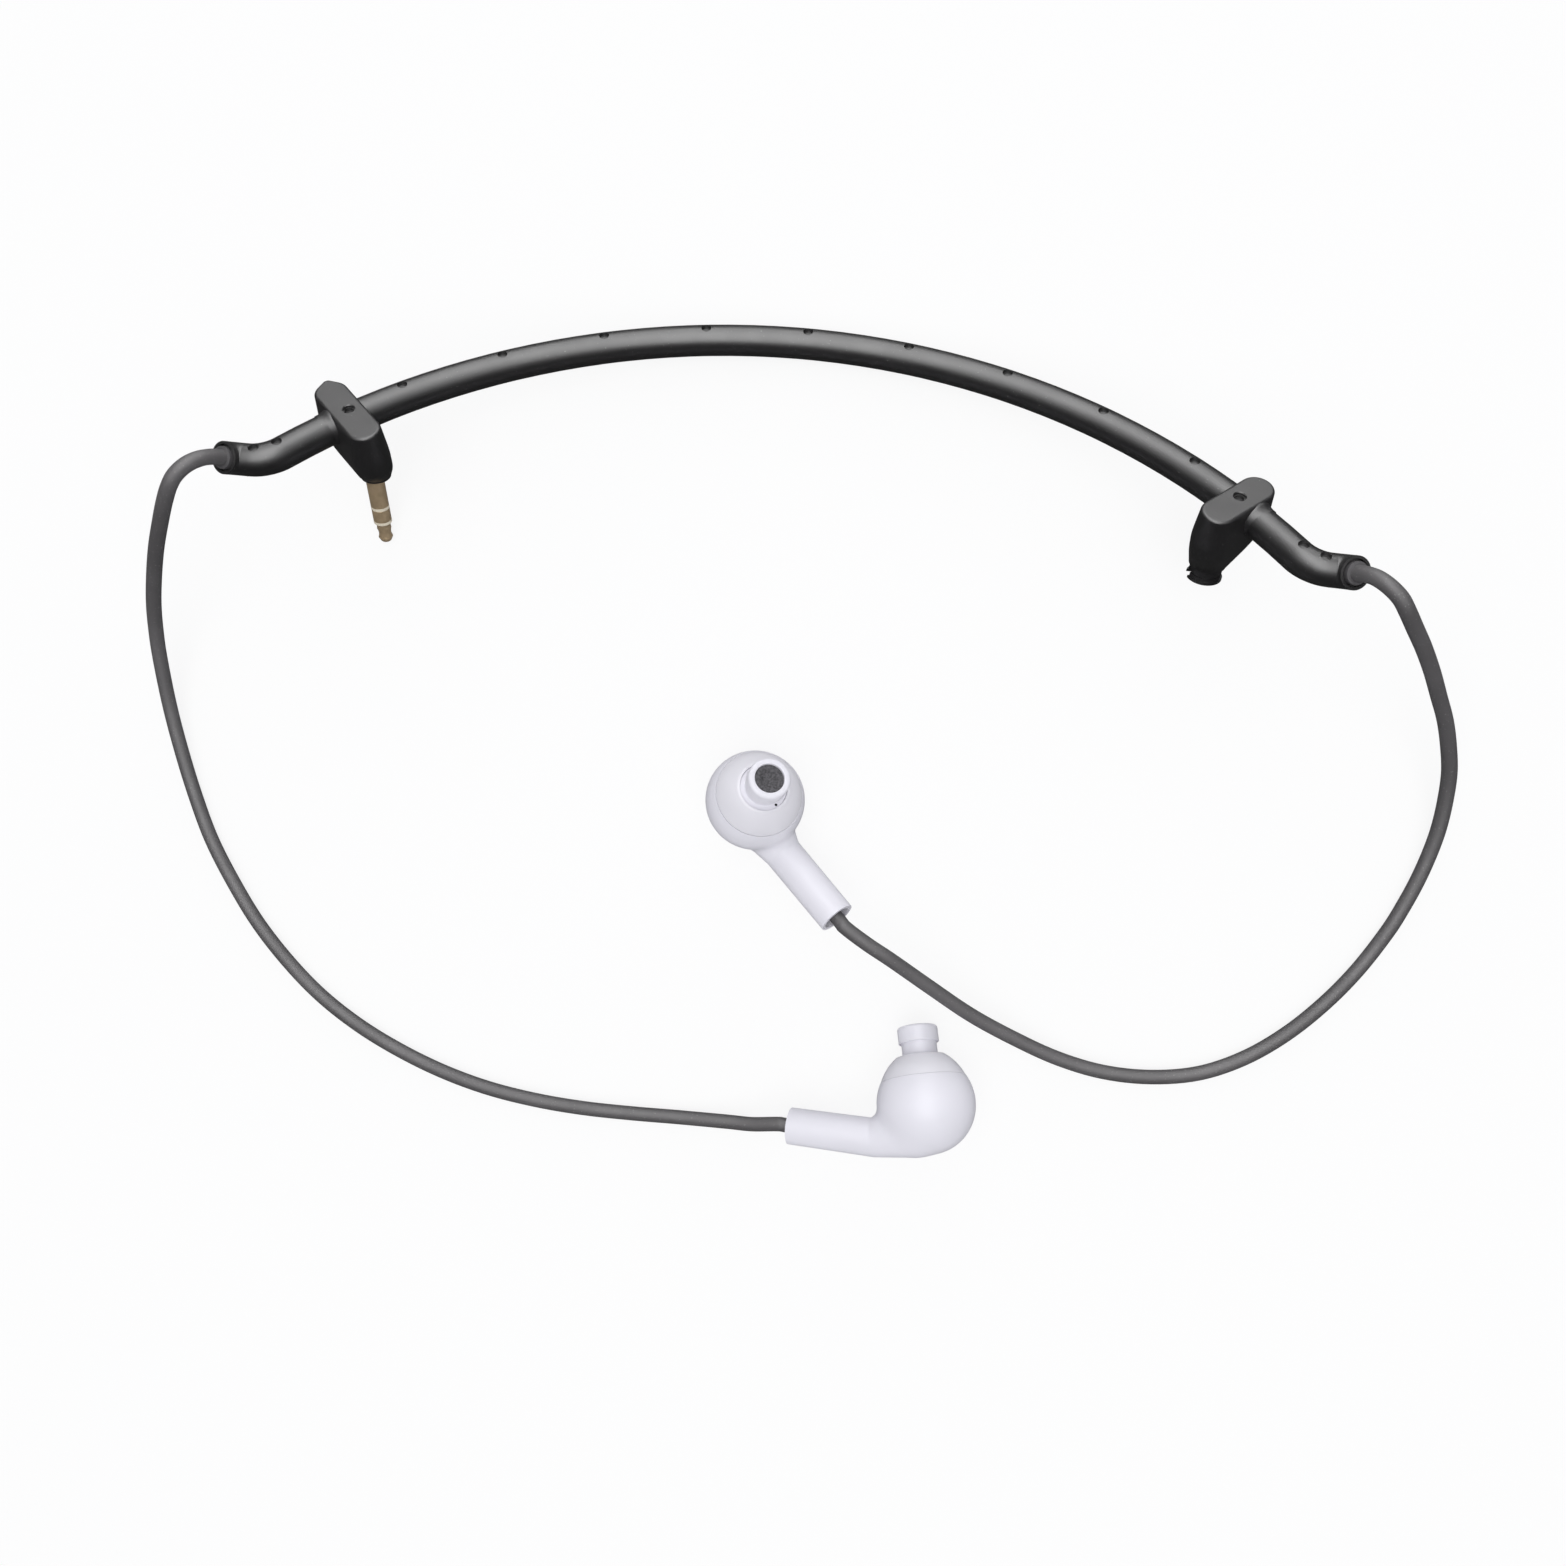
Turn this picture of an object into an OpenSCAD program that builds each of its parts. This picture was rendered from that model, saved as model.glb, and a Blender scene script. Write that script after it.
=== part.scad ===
// Wired earphones on a rubber neck band, lying on a table.
// The band leans: it stands on the top of its arch and on the tip of its plug.
// Band pieces are drawn in the band's own plane, with the tube's axis in z = 0,
// x along the chord, y towards the top of the arch and z up out of the plane.

/* [Band] */
// Distance between the two blocks along the chord
block_span = 160; // [150:1:170]
// Rise of the arch above the chord
arch_rise = 33.5; // [30:0.5:37]
// Outside diameter of the rubber tube
tube_d = 5.8; // [5.4:0.1:6.4]
// Bore of the rubber tube
tube_bore = 3.2; // [3.1:0.1:3.8]
// Length by which the arch runs on past each block
tail_run = 14.2; // [12:0.2:16]
// Bend radius of each tail, on the tube's axis
tail_bend_r = 7; // [6:0.5:12]
// Angle by which the end of each tail turns up
tail_lift = 70; // [40:5:80]
// Radius of that turn, on the tube's axis
tail_lift_r = 3.1; // [3:0.1:6]
// Straight length at the end of each tail
tail_end_len = 0.7; // [0.6:0.1:3]
// Depth of the cup in the end of each tail
cup_depth = 0.9; // [0.6:0.1:1.1]
// Wall round that cup
cup_wall = 0.5; // [0.4:0.05:0.8]
// Diameter of the round pits along the tube
pit_d = 1.9; // [1:0.1:2.2]
// Depth of those pits
pit_depth = 0.7; // [0.3:0.1:1]
// Angle round the arch from one pit to the next
pit_step = 10; // [8:0.5:10.5]
// Pits on each half of the arch, beside the one at its top
pits_per_half = 4; // [1:1:4]

/* [Blocks] */
// Width of each flat face, along the tube
face_w = 6.2; // [5.6:0.1:6.8]
// Height of the faces above the tube's axis
face_h = 3.4; // [3.3:0.1:4.5]
// Rounding of a face's edge
face_round = 0.5; // [0.2:0.1:0.8]
// Reach of the plug block's face inwards from the tube's axis
plug_face_in = 10.8; // [9:0.2:12]
// Reach of that face outwards, to its peak
plug_face_out = 8.6; // [6:0.2:9]
// Reach of the stub block's face inwards from the tube's axis
stub_face_in = 9.9; // [9:0.1:12]
// Reach of that face outwards
stub_face_out = 5.7; // [5:0.1:8]
// Distance of each face's middle line from its block's middle, towards the tail
face_shift = 0.9; // [0:0.1:1.2]
// Width of the blocks where they hold the tube
waist_w = 7.3; // [6.8:0.1:8]
// Width of the blocks at the shoulder
shoulder_w = 6.8; // [6.2:0.1:7.6]
// Depth below the tube's axis at which a block starts to narrow
shoulder_depth = 7; // [6:0.5:9]
// Depth of the plug block's narrow end below the tube's axis
plug_block_depth = 16.4; // [15:0.1:18]
// Depth of the stub block's narrow end below the tube's axis
stub_block_depth = 17; // [15:0.1:18]
// Diameter of the plug block's narrow end
plug_end_d = 5.8; // [5.6:0.1:7]
// Diameter of the stub block's narrow end
stub_end_d = 6.8; // [6.4:0.1:8]
// Angle by which the plug and the stub lean from the square to the band
foot_tilt = 12; // [0:1:12]
// Diameter of the round hole in the face
face_hole_d = 2.1; // [1.4:0.1:2.6]
// Length of the flared collar where a tail leaves its block
collar_len = 1.8; // [0.8:0.1:2.4]
// Diameter of that collar at the block
collar_d = 6.6; // [6.4:0.1:6.8]

/* [Plug] */
// Diameter of the plug
plug_d = 3.5; // [3.5:0.1:3.6]
// Length of the sleeve contact that shows
sleeve_len = 6; // [5:0.1:6.4]
// Length of the ring contact
ring_len = 2.6; // [2.2:0.1:3]
// Length of the tip contact
tip_len = 4.2; // [3.8:0.1:5]
// Length of each insulating ring
insulator_len = 0.6; // [0.5:0.05:0.9]
// Wall of each of the tubes nested inside the plug
plug_wall = 0.32; // [0.28:0.02:0.34]
// Waist of the tip behind its bulb
tip_waist_d = 2.7; // [2.2:0.1:2.9]
// Bulb of the tip
tip_bulb_d = 3.1; // [2.8:0.1:3.4]

/* [Stub] */
// Outside diameter of the hollow stub
stub_d = 6; // [5.8:0.1:6.4]
// Bore of the stub
stub_bore = 4; // [3.6:0.1:4.2]
// Length of the stub that shows
stub_len = 2.4; // [2:0.1:4]
// Length of the shank that the block holds
stub_shank_len = 3; // [2:0.1:5]
// Wall of that shank
stub_shank_wall = 0.5; // [0.4:0.05:0.7]
// Width of the slot along the stub
stub_slot_w = 2; // [1:0.1:2.6]
// Diameter of the lip round its mouth
stub_lip_d = 6.6; // [6.4:0.1:7.2]
// Length of that lip
stub_lip_len = 0.5; // [0.3:0.1:0.8]

/* [Wires and cords] */
// Diameter of the steel spring wire
spring_wire_d = 0.9; // [0.7:0.05:1]
// Diameter of each lead inside the band
lead_d = 1; // [0.8:0.05:1.1]
// Diameter of each earbud cord
cord_d = 2.8; // [2.4:0.1:3]
// Diameter of the gland that each cord leaves
gland_d = 4; // [3.6:0.1:4.4]
// Height of the gland beyond the tube's end
gland_proud = 0.5; // [0.2:0.1:1]
// Length of the gland's spigot in the tube's bore
spigot_len = 0.8; // [0.5:0.1:0.9]
// Bore of the gland, for the lead
gland_bore = 2.2; // [2.2:0.1:2.4]

/* [Earbuds] */
// Diameter of the round housing
ball_d = 19; // [18:0.2:20]
// Wall of the housing
shell_wall = 1.1; // [0.9:0.05:1.3]
// Height of the joint between the two shells above the ball's centre
seam_h = 4.5; // [4:0.1:5]
// Step in from the rear shell to the front shell at that joint
seam_step = 0.1; // [0.05:0.05:0.3]
// Height of the nozzle's base above the ball's centre
nozzle_base_h = 9; // [8.8:0.1:9.6]
// Diameter of the nozzle's base
nozzle_base_d = 9; // [8.8:0.1:9.4]
// Diameter of the nozzle's neck
neck_d = 6.9; // [6.7:0.1:7.2]
// Length of that neck
neck_len = 2.7; // [2.2:0.1:3.2]
// Diameter of the flange that holds an ear tip
flange_d = 7.9; // [7.6:0.1:8.4]
// Length of that flange
flange_len = 3.2; // [2.6:0.1:3.8]
// Bore of the nozzle
nozzle_bore = 5.5; // [5:0.1:5.8]
// Depth of the filter below the nozzle's end
filter_depth = 0.7; // [0.4:0.1:1.2]
// Thickness of the filter
filter_t = 1.2; // [0.8:0.1:1.6]
// Diameter of the vent beside the nozzle
vent_d = 0.6; // [0.4:0.05:0.7]
// Angle between the nozzle's axis and the stem's axis
stem_angle = 76; // [72:1:82]
// Distance of the stem's axis behind the ball's centre
stem_offset = 7.6; // [7.2:0.1:8]
// Length of the stem from its mouth to a point level with the ball's centre
stem_len = 26.2; // [25:0.2:30]
// Outside diameter of the stem at its mouth
stem_d = 7; // [6.6:0.1:7.2]
// Outside diameter of the stem at the elbow
elbow_d = 7.3; // [7:0.1:7.6]
// Wall of the stem at its mouth
stem_wall = 0.75; // [0.6:0.05:0.9]

/* [Drivers] */
// Diameter of the driver
driver_d = 14.2; // [13.8:0.1:14.6]
// Diameter of the driver's yoke
yoke_d = 9; // [8.6:0.1:9.4]
// Diameter of the magnet
magnet_d = 6; // [5.6:0.1:6.2]
// Thickness of the magnet
magnet_t = 1.8; // [1.4:0.1:2.2]
// Thickness of the pole plate
pole_plate_t = 0.8; // [0.6:0.1:1]
// Thickness of the yoke's floor
yoke_floor_t = 0.9; // [0.7:0.1:1.1]
// Travel of the diaphragm each way
diaphragm_travel = 0.2; // [0.1:0.05:0.25]
// Thickness of the diaphragm
diaphragm_t = 0.2; // [0.15:0.05:0.3]

/* [Hidden] */

$fn = 64;

// Clearances
rubber_fit = 0.03;   // rubber moulded round another piece
plug_fit = 0.03;     // between the nested tubes of the plug
shell_fit = 0.05;    // between moulded parts of an earbud
swivel_gap = 0.15;   // round a cord that turns in its bush
coil_gap = 0.25;     // on each side of the voice coil
overcut = 1;         // how far a cut runs past a face

// Colours
rubber_black = [0.09, 0.09, 0.10];
cord_black = [0.16, 0.16, 0.17];
plug_gold = [0.72, 0.58, 0.38];
shell_white = [0.93, 0.93, 0.95];
filter_grey = [0.30, 0.30, 0.31];
steel_grey = [0.62, 0.63, 0.65];

// The arch, in the band's plane
half_span = block_span / 2;
arch_r = (half_span * half_span + arch_rise * arch_rise) / (2 * arch_rise);
block_at = asin(half_span / arch_r);
arch_end = block_at + tail_run / arch_r * 180 / PI;
tube_r = tube_d / 2;
cup_d = tube_d - 2 * cup_wall;
gland_seat = cup_depth + spigot_len + rubber_fit;
lift_x = (arch_r + tail_bend_r) * sin(arch_end);
lift_y = arch_rise - arch_r + (arch_r + tail_bend_r) * cos(arch_end) - tail_bend_r;
lift_turn = 137;
tail_pit_headings = [49, 15];

// Where each block's narrow end lies, from the tube's axis: towards the arch's top,
// outwards and down. The plug block's is first.
foot = [[1.1, 1.9, -plug_block_depth], [2.3, 0.9, -stub_block_depth]];
foot_shift = [0.4, 0];

// How the band leans, so that the arch and the rim of the plug's tip touch the table
plug_len = sleeve_len + ring_len + tip_len + 2 * insulator_len;
tip_flat_r = 0.9;
foot_y = foot[0][0] * sin(block_at) + foot[0][1] * cos(block_at);
rest_y = foot_y - plug_len * sin(foot_tilt) + tip_flat_r * cos(foot_tilt);
rest_depth = plug_block_depth + plug_len * cos(foot_tilt) + tip_flat_r * sin(foot_tilt);
lean_rise = arch_rise - rest_y;
lean_reach = sqrt(lean_rise * lean_rise + rest_depth * rest_depth);
band_lean = atan2(rest_depth, lean_rise) - asin(tube_r / lean_reach);
band_h = arch_rise * sin(band_lean) + tube_r;

// The origin, measured from the middle of the chord
origin_x = 0;
origin_y = -49.84;

// What lies inside the tube, and how far outwards round the arch
wire_shift = 0.3 + (spring_wire_d - tube_bore) / 2;
lead_shift = 0.5;
lead_leg_x = 0.9;
leg_lift = 0.24;
window_len = 4;
window_w = 3.6;
weld_rise = 0.03;
weld_len = 0.1;

// Moulding details of the blocks and the stub
seat_sweep = 12;
waist_shift = 1.05;
waist_in = 0.15;
waist_out = 0.2;
shoulder_shift = 0.75;
shoulder_in = -0.9;
shoulder_out = -1.8;
peak_r = 0.9;
peak_shift = 0.35;
peak_rise = 0.6;
hole_shift = 0.55;
hole_inset = 1.4;
collar_edge = 0.4;
collar_at = 4.2;
leg_room = 0.3;
stub_groove_w = 0.2;
stub_groove_cut = 0.3;

// The nested tubes of the plug, from the outside in
sleeve_bore = plug_d - 2 * plug_wall;
outer_insulator_d = sleeve_bore - 2 * plug_fit;
outer_insulator_bore = outer_insulator_d - plug_wall;
ring_stem_d = outer_insulator_bore - 2 * plug_fit;
ring_bore = ring_stem_d - 1.5 * plug_wall;
inner_insulator_d = ring_bore - 2 * plug_fit;
inner_insulator_bore = inner_insulator_d - plug_wall;
tip_stem_d = inner_insulator_bore - 2 * plug_fit;
plug_root_d = 4;
plug_root_len = 0.3;
plug_collar_d = 4.4;
plug_collar_base = 0.6;
plug_collar_len = 0.8;
plug_step = 0.6;
terminal_t = 0.25;
terminal_d = 4;
plug_cavity_d = 4.5;
ring_top = -sleeve_len - insulator_len;
tip_top = ring_top - ring_len - insulator_len;
collar_top = plug_collar_base + plug_collar_len;
terminal_top = collar_top + 1.5 * plug_step + plug_fit + terminal_t;

// An earbud, along its nozzle's axis from the ball's centre
ball_r = ball_d / 2;
cavity_r = ball_r - shell_wall;
seam_r = sqrt(ball_r * ball_r - seam_h * seam_h);
seam_lap = 1.4;
skirt_r = seam_r - shell_wall / 2 - shell_fit;
nozzle_rim = 0.4;
front_bulge_r = 10;
neck_end_h = nozzle_base_h + neck_len;
nozzle_end_h = neck_end_h + flange_len;
nozzle_seat_t = 1.2;
nozzle_seat_drop = 0.25;
flange_round = 0.6;
filter_dish_d = 3.2;
filter_dish_depth = 0.6;
filter_h = nozzle_end_h - filter_depth - filter_t;
elbow_r = elbow_d / 2;
elbow_back = 9;
elbow_blend_r = 5.6;
elbow_blend_back = 2;
elbow_blend_up = 2.85;
stem_bore = stem_d - 2 * stem_wall;
stem_bore_end = 6.2;
stem_bore_len = stem_len - stem_bore_end;
bush_len = 5;
stop_len = 3;
stop_room = stop_len + 2;
bush_at = stem_bore_len - stop_room - bush_len;
cord_in = bush_at + bush_len + swivel_gap;
stop_d = stem_bore - 0.8;

// A driver, along the same axis
driver_h = 3.6;
frame_len = 2.6;
frame_wall = 0.9;
frame_floor_t = 0.7;
yoke_wall = 0.5;
yoke_proud = 0.4;
coil_t = 0.35;
coil_reach = pole_plate_t + 0.4;
yoke_top_h = driver_h - frame_len + frame_floor_t + yoke_proud;
yoke_len = yoke_floor_t + magnet_t + pole_plate_t;
yoke_bore = yoke_d - 2 * yoke_wall;
pole_plate_d = yoke_bore - 2 * (2 * coil_gap + coil_t);
coil_d = pole_plate_d + 2 * coil_gap + 2 * coil_t;
surround_gap = diaphragm_travel + 0.1;
diaphragm_h = driver_h + surround_gap;
dome_h = 0.7;

// Where each earbud lies: the middle of its stem's mouth, the heading and rise of
// its stem, and its turn about the stem. The left one is first.
mouth = [[14, -125.3, 6.5], [18.6, -82.3, 12.8]];
stem_heading = [4, 139];
stem_rise = [12.8, -19];
stem_turn = [-112, 26];

// How far each cord runs straight out of its gland and out of its stem
gland_lead_out = 2;
mouth_lead_out = 2.5;

// The free stretch of each cord, between its gland and its stem
left_route = [
    [-100, -12.1, 39.2], [-101.5, -13.5, 40.6], [-103.1, -15.4, 41], [-104.5, -17.4, 40.3],
    [-106.9, -20, 37.2], [-110.2, -23.2, 32.2], [-113.9, -27.4, 26.4], [-117.2, -32.3, 20.6],
    [-119.8, -37.5, 15.4], [-121.3, -42.6, 11.2], [-121.9, -48.1, 7.8], [-121.2, -57.6, 3.9],
    [-118.8, -66.8, 2.1], [-115.3, -75.8, 1.5], [-111.1, -84.2, 1.5], [-105.6, -92.5, 1.5],
    [-99.6, -100.2, 1.5], [-92.5, -107.3, 1.5], [-84.9, -113.4, 1.5], [-76.3, -118.5, 1.5],
    [-67.2, -122.5, 1.5], [-57.8, -125.6, 1.5], [-48.2, -127.7, 1.5], [-38.2, -128.8, 1.5],
    [-28.4, -129.1, 1.5], [-18.5, -128.8, 1.5], [-8.7, -128.2, 1.7], [1.2, -127.4, 2.8],
    [6.3, -126.8, 4.1],
];
right_route = [
    [100.1, -12, 39.2], [101.7, -13.3, 40.6], [103.6, -15, 40.9], [105.2, -16.8, 40.1],
    [107.9, -19.2, 37], [111.5, -21.8, 32], [115.4, -25.1, 26.4], [119.2, -28.9, 20.8],
    [122.8, -32.9, 15.8], [125.7, -37.4, 11.4], [127.8, -42.1, 8], [128.8, -47.4, 5.4],
    [129, -52.6, 3.7], [128.5, -57.5, 2.5], [127.3, -62.8, 1.8], [125.5, -68.1, 1.5],
    [123.1, -73.6, 1.5], [118.6, -81.6, 1.5], [113.3, -88.9, 1.5], [107, -95.7, 1.5],
    [99.8, -101.4, 1.5], [91.7, -105.5, 1.5], [82.7, -107.5, 1.5], [73.4, -107.7, 1.6],
    [64.2, -106, 2.4], [55.1, -102.8, 4], [46.3, -98.9, 6.2], [37.9, -94.1, 8.9],
    [29.9, -89.3, 11.9], [25, -86.6, 13.2],
];

LEFT = 0;
RIGHT = 1;

// ---- Frames ----

module in_place() {
    translate([-origin_x, -origin_y, 0]) children();
}

module in_band() {
    in_place() translate([0, 0, band_h]) rotate([-band_lean, 0, 0]) children();
}

// Centre of the arch, turned so that y points outwards at this angle from its top
module on_arch(angle) {
    translate([0, arch_rise - arch_r, 0]) rotate([0, 0, -angle]) children();
}

// A block on the tube's axis: x towards the arch's top, y outwards, z out of the face.
// The right one is the left one's mirror image.
module at_block(side) {
    in_band() mirror([side, 0, 0]) on_arch(-block_at) translate([0, arch_r, 0]) children();
}

// The narrow end of a block, with the plug or the stub along -z
module at_foot(side) {
    at_block(side) at_foot_of_block(side) children();
}

module at_foot_of_block(side) {
    translate(foot[side]) rotate([0, 0, -block_at]) rotate([-foot_tilt, 0, 0]) children();
}

// Where the tail's end starts to turn up, on the right, with x along the tube
module at_lift(shift = 0) {
    translate([lift_x, lift_y + shift, 0]) rotate([lift_turn, 0, 0]) children();
}

// The end of that turn, with z along the tube
module past_lift() {
    translate([tail_lift_r * sin(tail_lift), tail_lift_r * (1 - cos(tail_lift)), 0])
        rotate([0, 0, tail_lift]) rotate([0, 90, 0]) children();
}

module at_tail_end(side) {
    in_band() mirror([1 - side, 0, 0]) at_lift() past_lift()
        translate([0, 0, tail_end_len]) children();
}

module at_stem(side) {
    in_place() translate(mouth[side])
        rotate([0, 0, stem_heading[side]]) rotate([0, -stem_rise[side], 0])
        rotate([stem_turn[side], 0, 0]) children();
}

// The ball's centre, with z along the nozzle and x towards the stem's mouth
module at_ball(side) {
    at_stem(side) translate([stem_len, 0, stem_offset]) rotate([0, stem_angle - 90, 0])
        rotate([0, 0, 180]) children();
}

// ---- Shapes ----

module disc(d, h, at = 0) {
    translate([0, 0, at]) cylinder(d = d, h = h);
}

module ring(d, bore, h, at = 0) {
    difference() {
        disc(d, h, at);
        disc(bore, h + 2 * overcut, at - overcut);
    }
}

// A round rod along the arch from one angle to the other, shifted outwards
module arch_rod(d, from, to, shift = 0) {
    translate([0, arch_rise - arch_r, 0]) rotate([0, 0, 90 - to])
        rotate_extrude(angle = to - from, $fn = 128)
        translate([arch_r + shift, 0]) circle(d = d, $fn = 32);
}

// A bead so slight that it only welds two lengths of rod where they meet
module weld_bead(d) {
    rotate([0, 90, 0]) cylinder(d = d + weld_rise, h = weld_len, center = true, $fn = 32);
}

// The S-shaped tail beyond the arch, on the right, and its end that turns up
module tail_rod(d, shift = 0, extra = 0) {
    end_lag = shift * cos(lift_turn) * sin(tail_lift);
    on_arch(arch_end) translate([0, arch_r + shift, 0]) weld_bead(d);
    translate([lift_x, lift_y + tail_bend_r, 0]) rotate([0, 0, 270 - arch_end])
        rotate_extrude(angle = arch_end) translate([tail_bend_r - shift, 0]) circle(d = d, $fn = 32);
    at_lift(shift) {
        weld_bead(d);
        translate([0, tail_lift_r, 0]) rotate([0, 0, -90])
            rotate_extrude(angle = tail_lift) translate([tail_lift_r, 0]) circle(d = d, $fn = 32);
        past_lift() {
            cylinder(d = d + weld_rise, h = weld_len, center = true, $fn = 32);
            cylinder(d = d, h = tail_end_len + extra - end_lag, $fn = 32);
        }
    }
}

module both_sides() {
    children();
    mirror([1, 0, 0]) children();
}

function corner(c, r, a) = [c[0] + r * cos(a), c[1] + r * sin(a)];

// Points on a circular arc from a to b that bulges to its right by a given radius
function arc_between(a, b, r, steps = 10) =
    let (half = norm(b - a) / 2,
         along = (b - a) / (2 * half),
         middle = (a + b) / 2,
         drop = sqrt(r * r - half * half),
         centre = middle + drop * [-along[1], along[0]],
         start = atan2(a[1] - centre[1], a[0] - centre[0]),
         sweep = 2 * asin(half / r))
    [for (i = [0:steps]) corner(centre, r, start + sweep * i / steps)];

// ---- Band ----

module band_tube() color(rubber_black) {
    in_band() difference() {
        union() {
            arch_rod(tube_d, -arch_end, arch_end);
            both_sides() tail_rod(tube_d);
        }
        arch_rod(tube_bore, -arch_end, arch_end);
        both_sides() tail_rod(tube_bore, extra = overcut);
        both_sides() at_lift() past_lift() {
            disc(cup_d, cup_depth + overcut, tail_end_len - cup_depth);
            disc(tube_bore + 2 * weld_rise, gland_seat + overcut, tail_end_len - gland_seat);
        }
        for (i = [-pits_per_half:pits_per_half]) tube_pit(i * pit_step);
        both_sides() for (heading = tail_pit_headings) tail_pit(heading);
        both_sides() tube_pit(block_at + arc_angle(hole_shift), -hole_inset);
        on_arch(-block_at) translate([0, arch_r, -tube_r / 2])
            cube([window_len, window_w, tube_r + overcut], center = true);
    }
}

module tube_pit(angle, shift = 0) {
    on_arch(angle) translate([0, arch_r + shift, tube_r - pit_depth])
        cylinder(d = pit_d, h = pit_depth + overcut, $fn = 24);
}

// A pit in the tail's bend, where the tail is still this far from its end's heading
module tail_pit(heading) {
    translate([lift_x, lift_y + tail_bend_r, 0]) rotate([0, 0, -heading])
        translate([0, -tail_bend_r, tube_r - pit_depth])
        cylinder(d = pit_d, h = pit_depth + overcut, $fn = 24);
}

module spring_wire() color(steel_grey) {
    in_band() arch_rod(spring_wire_d, -arch_end, arch_end, wire_shift);
}

function arc_angle(length) = length / arch_r * 180 / PI;

// A straight rod from a to b
module rod_between(a, b, d) {
    v = b - a;
    translate(a) rotate([0, acos(v[2] / norm(v)), atan2(v[1], v[0])])
        cylinder(d = d, h = norm(v), $fn = 32);
}

// A lead runs inside the tube and turns down to the plug inside the left block. The
// hole for it, wider by some room, runs on to the terminal.
module lead_leg(x, extra = 0) {
    start = [x, lead_shift, 0];
    rod_between(start, leg_end(x, leg_lift - extra), lead_d + extra);
    translate(start) sphere(d = lead_d + weld_rise + extra);
}

// The point this far above the top terminal at which a leg ends, in the left block's frame
function leg_end(x, lift) = let (h = terminal_top + lift, t = foot_tilt, b = block_at)
    foot[0] + x * [cos(b), -sin(b), 0] + h * [sin(t) * sin(b), sin(t) * cos(b), cos(t)];

module left_lead() color(plug_gold) {
    in_band() {
        arch_rod(lead_d, -arch_end, -block_at - arc_angle(lead_leg_x), lead_shift);
        mirror([1, 0, 0]) tail_rod(lead_d, lead_shift, gland_proud);
    }
    at_block(LEFT) lead_leg(-lead_leg_x);
}

module right_lead() color(plug_gold) {
    in_band() {
        arch_rod(lead_d, arc_angle(lead_leg_x) - block_at, arch_end, lead_shift);
        tail_rod(lead_d, lead_shift, gland_proud);
    }
    at_block(LEFT) lead_leg(lead_leg_x);
}

// ---- Blocks ----

// The outline of a block at one level: round ends, so far in and so far out, and so
// far towards the tail
module block_outline(width, reach_in, reach_out, shift) {
    r = width / 2;
    hull() {
        translate([-shift, reach_out - r]) circle(r = r, $fn = 32);
        translate([-shift, r - reach_in]) circle(r = r, $fn = 32);
    }
}

// The face's outline, smaller all round by a margin. The plug block's has a peak.
module face_outline(side, margin = 0) {
    block_outline(face_w - 2 * margin, face_in(side) - margin, body_out(side) - margin, face_shift);
    if (side == LEFT)
        translate([-peak_shift, plug_face_out - peak_r - margin]) circle(r = peak_r, $fn = 24);
}

function face_in(side) = side == LEFT ? plug_face_in : stub_face_in;

function body_out(side) = side == LEFT ? plug_face_out - peak_rise : stub_face_out;

// A block round its own part of the tube
module block_body(side, end_d) {
    sliver = 0.1;
    hull() {
        translate([0, 0, face_h - sliver]) linear_extrude(sliver)
            hull() face_outline(side, face_round);
        translate([0, 0, face_h - face_round - sliver]) linear_extrude(sliver)
            hull() face_outline(side);
        translate([0, 0, -tube_r]) linear_extrude(sliver)
            block_outline(waist_w, face_in(side) + waist_in, body_out(side) + waist_out, waist_shift);
        translate([0, 0, -shoulder_depth]) linear_extrude(sliver)
            block_outline(shoulder_w, face_in(side) + shoulder_in, body_out(side) + shoulder_out,
                          shoulder_shift);
        at_foot_of_block(side) translate([foot_shift[side], 0, 0]) {
            translate([0, 0, face_round]) cylinder(d = end_d, h = sliver, $fn = 32);
            cylinder(d = end_d - 2 * face_round, h = sliver, $fn = 32);
        }
    }
}

// The collar on the side where the tail leaves
module block_collar() {
    rotate([0, -90, 0]) {
        cylinder(d = collar_d, h = collar_at);
        translate([0, 0, collar_at])
            cylinder(d1 = collar_d, d2 = tube_d + collar_edge, h = collar_len);
    }
}

// The channel for the tube, and the round hole in the face
module block_openings() {
    translate([0, -arch_r, 0]) rotate([0, 0, 90 - seat_sweep / 2])
        rotate_extrude(angle = seat_sweep, $fn = 128) translate([arch_r, 0])
        circle(d = tube_d + 2 * rubber_fit, $fn = 48);
    translate([-hole_shift, -hole_inset, 0]) disc(face_hole_d, face_h + overcut);
}

module left_block() color(rubber_black) {
    at_block(LEFT) difference() {
        union() {
            block_body(LEFT, plug_end_d);
            block_collar();
        }
        block_openings();
        for (x = [-lead_leg_x, lead_leg_x]) lead_leg(x, leg_room);
        at_foot_of_block(LEFT) {
            disc(plug_cavity_d, terminal_top + plug_fit - plug_collar_base, plug_collar_base);
            disc(plug_root_d + 2 * plug_fit, plug_collar_base + 2 * overcut, -overcut);
        }
    }
}

module right_block() color(rubber_black) {
    at_block(RIGHT) difference() {
        union() {
            block_body(RIGHT, stub_end_d);
            block_collar();
        }
        block_openings();
        at_foot_of_block(RIGHT)
            disc(stub_shank_d() + 2 * plug_fit, stub_shank_len + 2 * plug_fit + overcut, -overcut);
    }
}

// ---- Stub ----

function stub_shank_d() = stub_bore + 2 * stub_shank_wall;

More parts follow.
